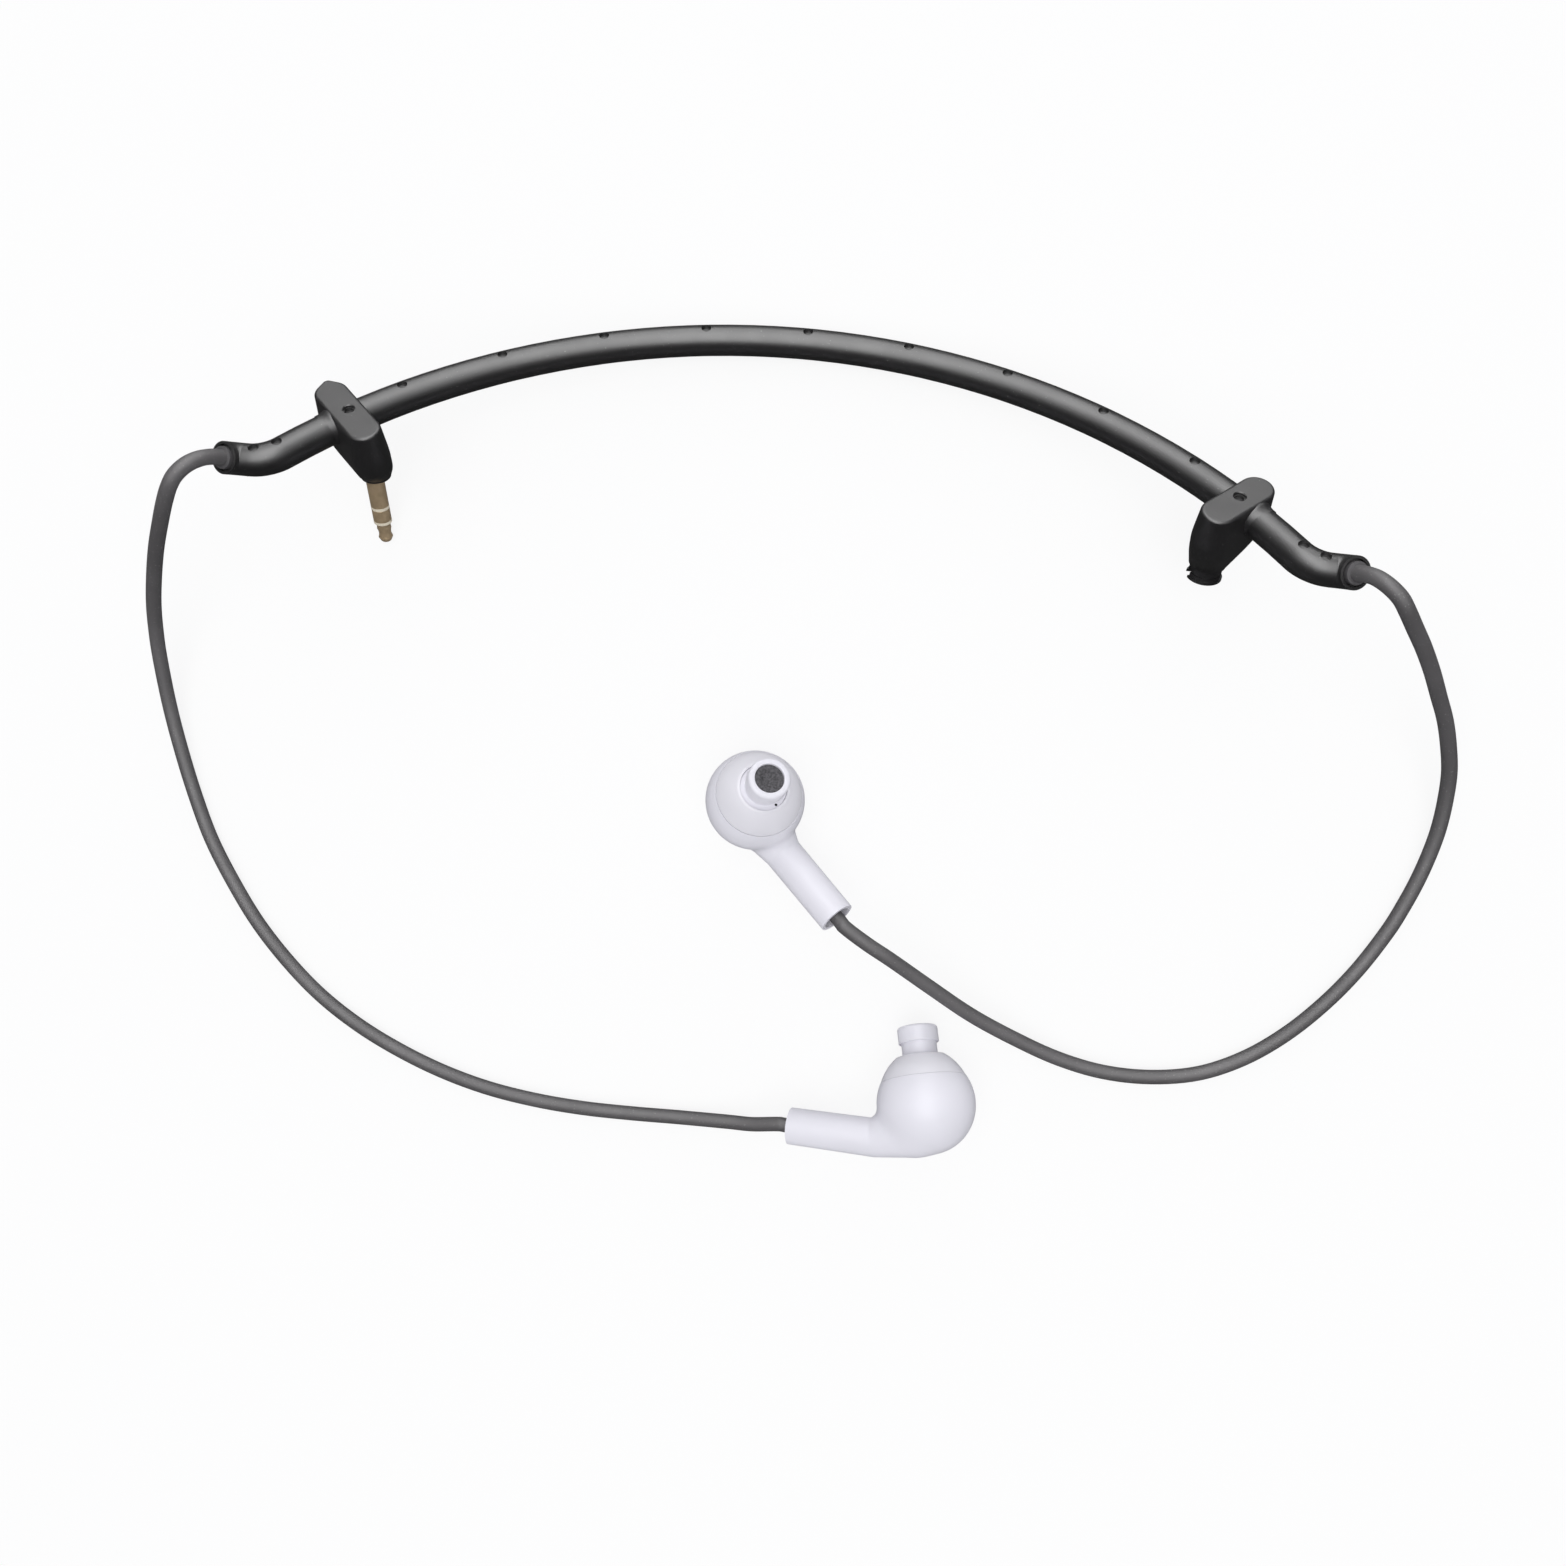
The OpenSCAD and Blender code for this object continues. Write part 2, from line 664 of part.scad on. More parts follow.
module stub_sleeve() color(rubber_black) {
    at_foot(RIGHT) difference() {
        union() {
            disc(stub_shank_d(), stub_shank_len);
            disc(stub_d, stub_len, -stub_len);
            disc(stub_lip_d, stub_lip_len, -stub_len);
        }
        disc(stub_bore, stub_len + stub_shank_len + 2 * overcut, -stub_len - overcut);
        ring(stub_d + overcut, stub_d - stub_groove_cut, stub_groove_w, -stub_len / 2);
        translate([0, -stub_slot_w / 2, -stub_len - overcut])
            cube([stub_d, stub_slot_w, stub_len + overcut]);
    }
}

// ---- Plug, with z = 0 where it leaves the block and the tip downwards ----

module plug_sleeve() color(plug_gold) {
    at_foot(LEFT) difference() {
        union() {
            disc(plug_d, sleeve_len - plug_root_len, -sleeve_len);
            disc(plug_root_d, plug_collar_base + plug_root_len, -plug_root_len);
            disc(plug_collar_d, plug_collar_len, plug_collar_base);
        }
        disc(sleeve_bore, sleeve_len + collar_top + 2 * overcut, -sleeve_len - overcut);
    }
}

module plug_ring() color(plug_gold) {
    stem_h = collar_top + plug_step - ring_top + ring_len;
    at_foot(LEFT) difference() {
        union() {
            disc(plug_d, ring_len, ring_top - ring_len);
            disc(ring_stem_d, stem_h, ring_top - ring_len);
        }
        disc(ring_bore, stem_h + 2 * overcut, ring_top - ring_len - overcut);
    }
}

module plug_insulators() color("ivory") {
    at_foot(LEFT) {
        ring(plug_d, outer_insulator_bore, insulator_len, ring_top);
        ring(outer_insulator_d, outer_insulator_bore, sleeve_len + collar_top + plug_step / 2, -sleeve_len);
        ring(plug_d, inner_insulator_bore, insulator_len, tip_top);
        ring(inner_insulator_d, inner_insulator_bore,
             collar_top + 1.5 * plug_step - ring_top + ring_len, ring_top - ring_len);
    }
}

module plug_tip() color(plug_gold) {
    waist_at = -1;
    bulb_at = -tip_len + 1.6;
    bulb_edge = 0.15;
    bulb_drop = 0.7;
    root_edge = 0.2;
    at_foot(LEFT) {
        translate([0, 0, tip_top]) rotate_extrude() polygon(concat(
            [[0, 0], [0, -tip_len], [tip_flat_r, -tip_len]],
            [[tip_bulb_d / 2 - bulb_edge, bulb_at - bulb_drop], [tip_bulb_d / 2, bulb_at]],
            [[tip_waist_d / 2, waist_at], [tip_waist_d / 2, waist_at / 2], [plug_d / 2 - root_edge, 0]]
        ));
        disc(tip_stem_d, collar_top + 2 * plug_step - tip_top, tip_top);
    }
}

// Three washers, one round the upper end of each contact
module plug_terminals() color(plug_gold) {
    at_foot(LEFT) {
        ring(terminal_d, outer_insulator_d + 2 * plug_fit, terminal_t, collar_top);
        ring(terminal_d, ring_stem_d + 2 * plug_fit, terminal_t, collar_top + plug_step / 2 + plug_fit);
        ring(terminal_d, tip_stem_d + 2 * plug_fit, terminal_t, terminal_top - terminal_t);
    }
}

// ---- Cords and glands ----

module cord_gland(side) color(rubber_black) {
    at_tail_end(side) difference() {
        union() {
            disc(gland_d, cup_depth + gland_proud, -cup_depth);
            disc(tube_bore - 2 * rubber_fit, spigot_len, -cup_depth - spigot_len);
        }
        disc(gland_bore, cup_depth + spigot_len + gland_proud + 2 * overcut,
             -cup_depth - spigot_len - overcut);
    }
}

// A point of the band's plane, in the frame of the chord
function from_band(p) = [
    p[0],
    p[1] * cos(band_lean) + p[2] * sin(band_lean),
    band_h - p[1] * sin(band_lean) + p[2] * cos(band_lean)
];

function gland_point(side, out) =
    let (a = tail_lift, along = tail_end_len + gland_proud + out,
         x = lift_x + tail_lift_r * sin(a) + along * cos(a),
         u = tail_lift_r * (1 - cos(a)) + along * sin(a))
    from_band([side == LEFT ? -x : x, lift_y + u * cos(lift_turn), u * sin(lift_turn)]);

// A point on a stem's axis, this far inside its mouth
function stem_point(side, depth) =
    let (h = stem_heading[side], r = stem_rise[side])
    mouth[side] + depth * [cos(r) * cos(h), cos(r) * sin(h), sin(r)];

function cord_points(side) = concat(
    [gland_point(side, 0), gland_point(side, gland_lead_out)],
    side == LEFT ? left_route : right_route,
    [stem_point(side, -mouth_lead_out), stem_point(side, 0), stem_point(side, cord_in)]
);

// Two rings to each span, on a smooth curve through the points
function between(a, b, c, d, t) =
    ((2 * b) + (c - a) * t + (2 * a - 5 * b + 4 * c - d) * t * t + (3 * b - a - 3 * c + d) * t * t * t) / 2;

function smooth_path(p) = let (n = len(p)) concat(
    [for (i = [0:n - 2]) for (t = i < 1 || i > n - 4 ? [0] : [0, 0.5])
        between(p[max(i - 1, 0)], p[i], p[i + 1], p[min(i + 2, n - 1)], t)],
    [p[n - 1]]
);

function unit(v) = v / norm(v);

function heading_at(p, i) = unit(p[min(i + 1, len(p) - 1)] - p[max(i - 1, 0)]);

// Each ring's side direction is the last one's, kept square to the path
function carried(p, i, side) = i == len(p) ? [] :
    let (t = heading_at(p, i), s = unit(side - (side * t) * t)) concat([s], carried(p, i + 1, s));

module swept_cord(p, d, sides = 8) {
    n = len(p);
    across = carried(p, 0, [0, 0, 1]);
    rings = [for (i = [0:n - 1]) let (t = heading_at(p, i), s = across[i], u = cross(t, s))
        for (k = [0:sides - 1]) p[i] + d / 2 * (cos(360 * k / sides) * s + sin(360 * k / sides) * u)];
    walls = [for (i = [0:n - 2]) for (k = [0:sides - 1])
        let (m = (k + 1) % sides, a = i * sides, b = a + sides)
        for (f = [[a + k, b + k, b + m], [a + k, b + m, a + m]]) f];
    near = [for (k = [1:sides - 2]) [0, k, k + 1]];
    far = [for (k = [1:sides - 2]) let (z = (n - 1) * sides) [z, z + k + 1, z + k]];
    polyhedron(points = rings, faces = concat(walls, near, far));
}

module cord(side) color(cord_black) {
    in_place() swept_cord(smooth_path(cord_points(side)), cord_d);
}

// ---- Earbuds ----

module cord_stop(side) color(steel_grey) {
    at_stem(side) translate([cord_in, 0, 0]) rotate([0, 90, 0]) disc(stop_d, stop_len);
}

module stem_bush(side) color(filter_grey) {
    at_stem(side) translate([bush_at, 0, 0]) rotate([0, 90, 0])
        ring(stem_bore - 2 * shell_fit, cord_d + 2 * swivel_gap, bush_len);
}

// The half outline of a ball, cut off flat at the seam
module ball_outline(r) {
    intersection() {
        circle(r = r);
        translate([0, -ball_d]) square([ball_d, ball_d + seam_h]);
    }
}

module rear_shell(side) color(shell_white) {
    stem_end = stem_len - elbow_back;
    difference() {
        union() {
            at_stem(side) rotate([0, 90, 0]) cylinder(d1 = stem_d, d2 = elbow_d, h = stem_end);
            at_stem(side) hull() {
                translate([stem_end, 0, 0]) sphere(r = elbow_r, $fn = 32);
                translate([stem_len - elbow_blend_back, 0, elbow_blend_up])
                    sphere(r = elbow_blend_r, $fn = 32);
            }
            at_ball(side) rotate_extrude() ball_outline(ball_r);
        }
        at_stem(side) rotate([0, 90, 0]) disc(stem_bore, stem_bore_len + overcut, -overcut);
        at_ball(side) {
            rotate_extrude() ball_outline(cavity_r);
            disc(2 * (skirt_r + shell_fit), seam_lap + overcut, seam_h - seam_lap);
        }
    }
}

// The front shell tapers in a gentle curve from the seam to the nozzle's base,
// and a skirt below the seam laps inside the rear shell, round the driver
module front_shell(side) color(shell_white) {
    edge_r = seam_r - seam_step;
    open_r = nozzle_base_d / 2;
    outside = arc_between([edge_r, seam_h], [open_r + nozzle_rim, nozzle_base_h], front_bulge_r);
    inside = arc_between([edge_r - shell_wall, seam_h],
        [open_r, nozzle_base_h - nozzle_seat_t], front_bulge_r);
    at_ball(side) rotate_extrude() polygon(concat(
        [[skirt_r, seam_h - seam_lap], [skirt_r, seam_h]],
        outside,
        [[open_r, nozzle_base_h]],
        [for (i = [len(inside) - 1:-1:0]) inside[i]],
        [[driver_d / 2 + shell_fit, seam_h], [driver_d / 2 + shell_fit, seam_h - seam_lap]]
    ));
}

module nozzle(side) color(shell_white) {
    at_ball(side) difference() {
        union() {
            disc(nozzle_base_d - 2 * shell_fit, nozzle_seat_t - nozzle_seat_drop,
                 nozzle_base_h - nozzle_seat_t);
            disc(neck_d, neck_len + nozzle_seat_drop, nozzle_base_h - nozzle_seat_drop);
            disc(flange_d, flange_len - flange_round, neck_end_h);
            translate([0, 0, nozzle_end_h - flange_round])
                cylinder(d1 = flange_d, d2 = flange_d - flange_round, h = flange_round);
        }
        disc(nozzle_bore, nozzle_end_h, nozzle_base_h - nozzle_seat_t - overcut);
        translate([(neck_d + nozzle_base_d) / 4, 0, 0])
            disc(vent_d, nozzle_seat_t + 2 * overcut, nozzle_base_h - nozzle_seat_t - overcut);
    }
}

module nozzle_filter(side) color(filter_grey) {
    at_ball(side) difference() {
        disc(nozzle_bore - 2 * shell_fit, filter_t, filter_h);
        disc(filter_dish_d, filter_dish_depth + overcut, filter_h + filter_t - filter_dish_depth);
    }
}

module driver_frame(side) color(filter_grey) {
    at_ball(side) difference() {
        disc(driver_d, frame_len, driver_h - frame_len);
        disc(driver_d - 2 * frame_wall, frame_len, driver_h - frame_len + frame_floor_t);
        disc(yoke_d + 2 * shell_fit, driver_d, -driver_d / 2);
    }
}

module yoke(side) color(steel_grey) {
    at_ball(side) difference() {
        disc(yoke_d, yoke_len, yoke_top_h - yoke_len);
        disc(yoke_bore, yoke_len, yoke_top_h - yoke_len + yoke_floor_t);
    }
}

module magnet(side) color("silver") {
    at_ball(side) disc(magnet_d, magnet_t, yoke_top_h - pole_plate_t - magnet_t);
}

module pole_plate(side) color(steel_grey) {
    at_ball(side) disc(pole_plate_d, pole_plate_t, yoke_top_h - pole_plate_t);
}

module voice_coil(side) color("peru") {
    at_ball(side)
        ring(coil_d, coil_d - 2 * coil_t, diaphragm_h - yoke_top_h + coil_reach, yoke_top_h - coil_reach);
}

module diaphragm(side) color("lightsteelblue") {
    at_ball(side) {
        disc(driver_d - frame_wall, diaphragm_t, diaphragm_h);
        disc(coil_d, dome_h, diaphragm_h);
    }
}

band_tube();
spring_wire();
left_lead();
right_lead();
left_block();
right_block();
stub_sleeve();
plug_sleeve();
plug_ring();
plug_tip();
plug_insulators();
plug_terminals();
cord_gland(LEFT);  // left_cord_gland
cord_gland(RIGHT);  // right_cord_gland
cord(LEFT);  // left_cord
cord(RIGHT);  // right_cord
cord_stop(LEFT);  // left_cord_stop
cord_stop(RIGHT);  // right_cord_stop
stem_bush(LEFT);  // left_stem_bush
stem_bush(RIGHT);  // right_stem_bush
rear_shell(LEFT);  // left_rear_shell
rear_shell(RIGHT);  // right_rear_shell
front_shell(LEFT);  // left_front_shell
front_shell(RIGHT);  // right_front_shell
nozzle(LEFT);  // left_nozzle
nozzle(RIGHT);  // right_nozzle
nozzle_filter(LEFT);  // left_nozzle_filter
nozzle_filter(RIGHT);  // right_nozzle_filter
driver_frame(LEFT);  // left_driver_frame
driver_frame(RIGHT);  // right_driver_frame
yoke(LEFT);  // left_yoke
yoke(RIGHT);  // right_yoke
magnet(LEFT);  // left_magnet
magnet(RIGHT);  // right_magnet
pole_plate(LEFT);  // left_pole_plate
pole_plate(RIGHT);  // right_pole_plate
voice_coil(LEFT);  // left_voice_coil
voice_coil(RIGHT);  // right_voice_coil
diaphragm(LEFT);  // left_diaphragm
diaphragm(RIGHT);  // right_diaphragm
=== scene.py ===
"""Wired earphones on a rubber neck band, as they lie on a table.

Every piece is drawn in millimetres in the frame of what carries it, then set in
place in metres.
"""

import math

import bmesh
import bpy
import numpy as np
from mathutils import Matrix, Vector


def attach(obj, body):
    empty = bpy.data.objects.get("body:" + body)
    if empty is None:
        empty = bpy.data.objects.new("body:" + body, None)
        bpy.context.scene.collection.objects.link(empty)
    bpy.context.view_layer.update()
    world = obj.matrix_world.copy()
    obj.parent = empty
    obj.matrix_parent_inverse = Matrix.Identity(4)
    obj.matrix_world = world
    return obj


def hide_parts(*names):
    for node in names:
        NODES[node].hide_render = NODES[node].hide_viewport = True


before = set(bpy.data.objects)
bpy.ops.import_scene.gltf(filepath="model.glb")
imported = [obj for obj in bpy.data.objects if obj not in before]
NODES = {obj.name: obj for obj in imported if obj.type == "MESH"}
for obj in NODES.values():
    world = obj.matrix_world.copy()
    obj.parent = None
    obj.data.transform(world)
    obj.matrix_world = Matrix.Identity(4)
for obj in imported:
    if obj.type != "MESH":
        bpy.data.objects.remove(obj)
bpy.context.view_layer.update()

bl_info = {
    "name": "Neck Band Earphones",
    "version": (1, 0, 0),
    "blender": (4, 5, 0),
    "location": "View3D > Sidebar > Earphones",
    "description": "Builds wired earphones on a rubber neck band",
    "category": "Add Mesh",
}

MM = 0.001
LEFT, RIGHT = 0, 1
SIDES = ("left", "right")

# ---- Sizes of the solids, in millimetres ----

HALF_SPAN = 80
ARCH_RISE = 33.5
TUBE_D = 5.8
TAIL_RUN = 14.2
TAIL_BEND_R = 7
TAIL_LIFT = 70
TAIL_LIFT_R = 3.1
TAIL_END_LEN = 0.7
LIFT_TURN = 137
FACE_W = 6.2
FACE_H = 3.4
FACE_IN = (10.8, 9.9)
FACE_OUT = (8.6, 5.7)
FACE_SHIFT = 0.9
PEAK_R = 0.9
PEAK_SHIFT = 0.35
PEAK_RISE = 0.6
SHOULDER_DEPTH = 7
BLOCK_DEPTH = (16.4, 17)
BLOCK_END_D = (5.8, 6.8)
FOOT = ((1.1, 1.9), (2.3, 0.9))
FOOT_SHIFT = (0.4, 0)
FOOT_TILT = 12
FACE_FLAT_IN = 0.15
# A body's width, the distance of its ends outside the face's ends, inner and outer, and its shift
WAIST = (7.3, 0.15, 0.2, 1.05)
SHOULDER = (6.8, -0.9, -1.8, 0.75)
HOLE_D = 2.1
HOLE_DEPTH = 1.1
HOLE_CHAMFER = 0.15
HOLE_AT = (-0.55, -1.4)
COLLAR_AT = 4.2
COLLAR_LEN = 1.8
COLLAR_D = 6.6
COLLAR_ROOT_LEN = 2
COLLAR_SUNK = 0.6
COLLAR_EDGE_T = 0.02
PLUG_D = 3.5
PLUG_EDGE = 0.08
PLUG_CORE_R = 0.6
PLUG_SUNK = 1
SLEEVE_LEN = 6
RING_LEN = 2.6
TIP_LEN = 4.2
INSULATOR_LEN = 0.6
INSULATOR_PROUD = 0.02
INSULATOR_SUNK = 0.04
INSULATOR_EDGE = 0.15
TIP_FLAT_R = 0.9
TIP_SHOULDER_IN = 0.2
TIP_WAIST_D = 2.7
TIP_WAIST_AT = (0.5, 1)
TIP_BULB_D = 3.1
TIP_BULB_AT = 1.3
TIP_BULB_START = 0.05
TIP_BULB_CURVE = 2.6
TIP_NOSE_LEN = 0.9
TIP_NOSE_EDGE = 0.15
GLAND_PROUD = 0.5
BALL_D = 19
SEAM_H = 4.5
SEAM_STEP = 0.1
SEAM_EDGE = 0.08
FRONT_WALL = 1.1
FRONT_LIP_T = 0.5
FRONT_LIP_LEN = 1
FRONT_CURVE = 10
FRONT_BROW = 0.4
NOZZLE_BASE_H = 9
NOZZLE_BASE_D = 9
NOZZLE_BASE_T = 1.2
NOZZLE_BASE_GAP = 0.05
NOZZLE_BASE_EDGE = 0.05
NOZZLE_SEAT_DROP = 0.25
NECK_D = 6.9
NECK_LEN = 2.7
NECK_FILLET = 0.25
FLANGE_D = 7.9
FLANGE_LEN = 3.2
FLANGE_ROUND = 0.55
FLANGE_EDGE = 0.1
NOZZLE_BORE = 5.5
NOZZLE_BORE_ROUND = 0.12
FILTER_DEPTH = 0.7
FILTER_T = 1.2
FILTER_GAP = 0.02
FILTER_CROWN = 0.05
# Radius and depth of points down the dish in the foam
FILTER_DISH = ((1.75, 0), (1.55, 0.12), (1.3, 0.55), (0, 0.62))
# Radius and height of points round the vent's floor, a near-black plug whose colour is painted
# shade standing in for the inside of the vent hole
VENT_FLOOR = ((0, 0.02), (0.22, 0.02), (0.30, -0.02), (0.30, -0.6), (0, -0.6))
STEM_ANGLE = 76
STEM_OFFSET = 7.6
STEM_LEN = 26.2
STEM_D = 7
STEM_PAST_MOUTH = 4
ELBOW_D = 7.3
ELBOW_LEN = 9
ELBOW_END_SHORT = 2
ELBOW_END_H = 2.85
ELBOW_END_R = 5.6
SHELL_WALL = 0.75
SHELL_RIM_ROUND = 0.12
SKIN_CELL = 0.3
ORIGIN_Y = -49.84

ARCH_R = (HALF_SPAN**2 + ARCH_RISE**2) / (2 * ARCH_RISE)
BLOCK_AT = math.degrees(math.asin(HALF_SPAN / ARCH_R))
ARCH_END = BLOCK_AT + math.degrees(TAIL_RUN / ARCH_R)
TUBE_R = TUBE_D / 2
LIFT_X = (ARCH_R + TAIL_BEND_R) * math.sin(math.radians(ARCH_END))
LIFT_Y = (
    ARCH_RISE - ARCH_R + (ARCH_R + TAIL_BEND_R) * math.cos(math.radians(ARCH_END)) - TAIL_BEND_R
)
TILT_SIN, TILT_COS = math.sin(math.radians(FOOT_TILT)), math.cos(math.radians(FOOT_TILT))
PLUG_LEN = SLEEVE_LEN + RING_LEN + TIP_LEN + 2 * INSULATOR_LEN
FOOT_Y = (
    FOOT[LEFT][0] * math.sin(math.radians(BLOCK_AT))
    + FOOT[LEFT][1] * math.cos(math.radians(BLOCK_AT))
)
REST_DEPTH = BLOCK_DEPTH[LEFT] + PLUG_LEN * TILT_COS + TIP_FLAT_R * TILT_SIN
LEAN_RISE = ARCH_RISE - (FOOT_Y - PLUG_LEN * TILT_SIN + TIP_FLAT_R * TILT_COS)
BAND_LEAN = math.degrees(
    math.atan2(REST_DEPTH, LEAN_RISE) - math.asin(TUBE_R / math.hypot(LEAN_RISE, REST_DEPTH))
)
BAND_H = ARCH_RISE * math.sin(math.radians(BAND_LEAN)) + TUBE_R
NOZZLE_END_H = NOZZLE_BASE_H + NECK_LEN + FLANGE_LEN
STRAIGHT_LEN = STEM_LEN - ELBOW_LEN

MOUTH = ((14, -125.3, 6.5), (18.6, -82.3, 12.8))
STEM_HEADING = (4, 139)
STEM_RISE = (12.8, -19)
STEM_TURN = (-112, 26)
CORD_IN = 15.15
CORD_STRAIGHT_OUT = 2
CORD_STRAIGHT_MOUTH = 2.5
CORD_STEPS = 6

ROUTES = (
    (
        (-100, -12.1, 39.2), (-101.5, -13.5, 40.6), (-103.1, -15.4, 41), (-104.5, -17.4, 40.3),
        (-106.9, -20, 37.2), (-110.2, -23.2, 32.2), (-113.9, -27.4, 26.4), (-117.2, -32.3, 20.6),
        (-119.8, -37.5, 15.4), (-121.3, -42.6, 11.2), (-121.9, -48.1, 7.8), (-121.2, -57.6, 3.9),
        (-118.8, -66.8, 2.1), (-115.3, -75.8, 1.5), (-111.1, -84.2, 1.5), (-105.6, -92.5, 1.5),
        (-99.6, -100.2, 1.5), (-92.5, -107.3, 1.5), (-84.9, -113.4, 1.5), (-76.3, -118.5, 1.5),
        (-67.2, -122.5, 1.5), (-57.8, -125.6, 1.5), (-48.2, -127.7, 1.5), (-38.2, -128.8, 1.5),
        (-28.4, -129.1, 1.5), (-18.5, -128.8, 1.5), (-8.7, -128.2, 1.7), (1.2, -127.4, 2.8),
        (6.3, -126.8, 4.1),
    ),
    (
        (100.1, -12, 39.2), (101.7, -13.3, 40.6), (103.6, -15, 40.9), (105.2, -16.8, 40.1),
        (107.9, -19.2, 37), (111.5, -21.8, 32), (115.4, -25.1, 26.4), (119.2, -28.9, 20.8),
        (122.8, -32.9, 15.8), (125.7, -37.4, 11.4), (127.8, -42.1, 8), (128.8, -47.4, 5.4),
        (129, -52.6, 3.7), (128.5, -57.5, 2.5), (127.3, -62.8, 1.8), (125.5, -68.1, 1.5),
        (123.1, -73.6, 1.5), (118.6, -81.6, 1.5), (113.3, -88.9, 1.5), (107, -95.7, 1.5),
        (99.8, -101.4, 1.5), (91.7, -105.5, 1.5), (82.7, -107.5, 1.5), (73.4, -107.7, 1.6),
        (64.2, -106, 2.4), (55.1, -102.8, 4), (46.3, -98.9, 6.2), (37.9, -94.1, 8.9),
        (29.9, -89.3, 11.9), (25, -86.6, 13.2),
    ),
)


# ---- Frames ----

def move(x, y, z):
    return Matrix.Translation((x, y, z))


def turn(degrees, axis):
    return Matrix.Rotation(math.radians(degrees), 4, axis)


IN_PLACE = move(0, -ORIGIN_Y, 0)
IN_BAND = IN_PLACE @ move(0, 0, BAND_H) @ turn(-BAND_LEAN, "X")


def on_arch(angle):
    """Centre of the arch, turned so that y points outwards at this angle from its top."""
    return IN_BAND @ move(0, ARCH_RISE - ARCH_R, 0) @ turn(-angle, "Z")


def at_block(side):
    """A block on the tube's axis: x towards the arch's top, y outwards, z out of its face.

    The right one is the left one's mirror image.
    """
    across = Matrix.Diagonal((-1 if side == RIGHT else 1, 1, 1, 1))
    left = move(0, ARCH_RISE - ARCH_R, 0) @ turn(BLOCK_AT, "Z") @ move(0, ARCH_R, 0)
    return IN_BAND @ across @ left


def foot_in_block(side):
    """A block's narrow end, with the plug or the stub along -z."""
    return move(*FOOT[side], -BLOCK_DEPTH[side]) @ turn(-BLOCK_AT, "Z") @ turn(-FOOT_TILT, "X")


def at_plug():
    return at_block(LEFT) @ foot_in_block(LEFT)


def at_tail_end(side):
    """The rim of a tail's upturned end, with z along the tube."""
    across = Matrix.Diagonal((1 if side == RIGHT else -1, 1, 1, 1))
    swing = math.radians(TAIL_LIFT)
    return (
        IN_BAND @ across @ move(LIFT_X, LIFT_Y, 0) @ turn(LIFT_TURN, "X")
        @ move(TAIL_LIFT_R * math.sin(swing), TAIL_LIFT_R * (1 - math.cos(swing)), 0)
        @ turn(TAIL_LIFT, "Z") @ turn(90, "Y") @ move(0, 0, TAIL_END_LEN)
    )


def at_stem(side):
    """The middle of a stem's mouth, with x inwards along the stem."""
    return (
        IN_PLACE @ move(*MOUTH[side]) @ turn(STEM_HEADING[side], "Z")
        @ turn(-STEM_RISE[side], "Y") @ turn(STEM_TURN[side], "X")
    )


BALL_IN_STEM = move(STEM_LEN, 0, STEM_OFFSET) @ turn(STEM_ANGLE - 90, "Y") @ turn(180, "Z")


def at_ball(side):
    """A ball's centre, with z along the nozzle and x towards the stem's mouth."""
    return at_stem(side) @ BALL_IN_STEM


# ---- Settings ----

class EarphoneSizes(bpy.types.PropertyGroup):
    cord_width: bpy.props.FloatProperty(
        name="Cord", description="Diameter of each earbud cord",
        default=2.8 * MM, subtype="DISTANCE", unit="LENGTH",
    )
    shell_blend: bpy.props.FloatProperty(
        name="Elbow fillet", description="Radius of the fillet between the stem and the ball",
        default=1.3 * MM, subtype="DISTANCE", unit="LENGTH",
    )
    face_round: bpy.props.FloatProperty(
        name="Face rounding", description="Rounding round the flat face of each block",
        default=0.6 * MM, subtype="DISTANCE", unit="LENGTH",
    )


class EarphoneColours(bpy.types.PropertyGroup):
    band: bpy.props.FloatVectorProperty(
        name="Band", description="Colour of the rubber band",
        default=(0.0050, 0.0044, 0.0050), subtype="COLOR", size=3,
    )
    block: bpy.props.FloatVectorProperty(
        name="Blocks", description="Colour of the two blocks",
        default=(0.0045, 0.0038, 0.0048), subtype="COLOR", size=3,
    )
    cord: bpy.props.FloatVectorProperty(
        name="Cords", description="Colour of the cords",
        default=(0.060, 0.0560, 0.0580), subtype="COLOR", size=3,
    )
    plug: bpy.props.FloatVectorProperty(
        name="Plug", description="Colour of the plug's plating",
        default=(0.56, 0.42, 0.26), subtype="COLOR", size=3,
    )
    shell: bpy.props.FloatVectorProperty(
        name="Shells", description="Colour of the earbud shells",
        default=(0.78, 0.77, 0.82), subtype="COLOR", size=3,
    )
    front: bpy.props.FloatVectorProperty(
        name="Fronts", description="Colour of the earbud fronts",
        default=(0.76, 0.75, 0.79), subtype="COLOR", size=3,
    )


# ---- Materials ----

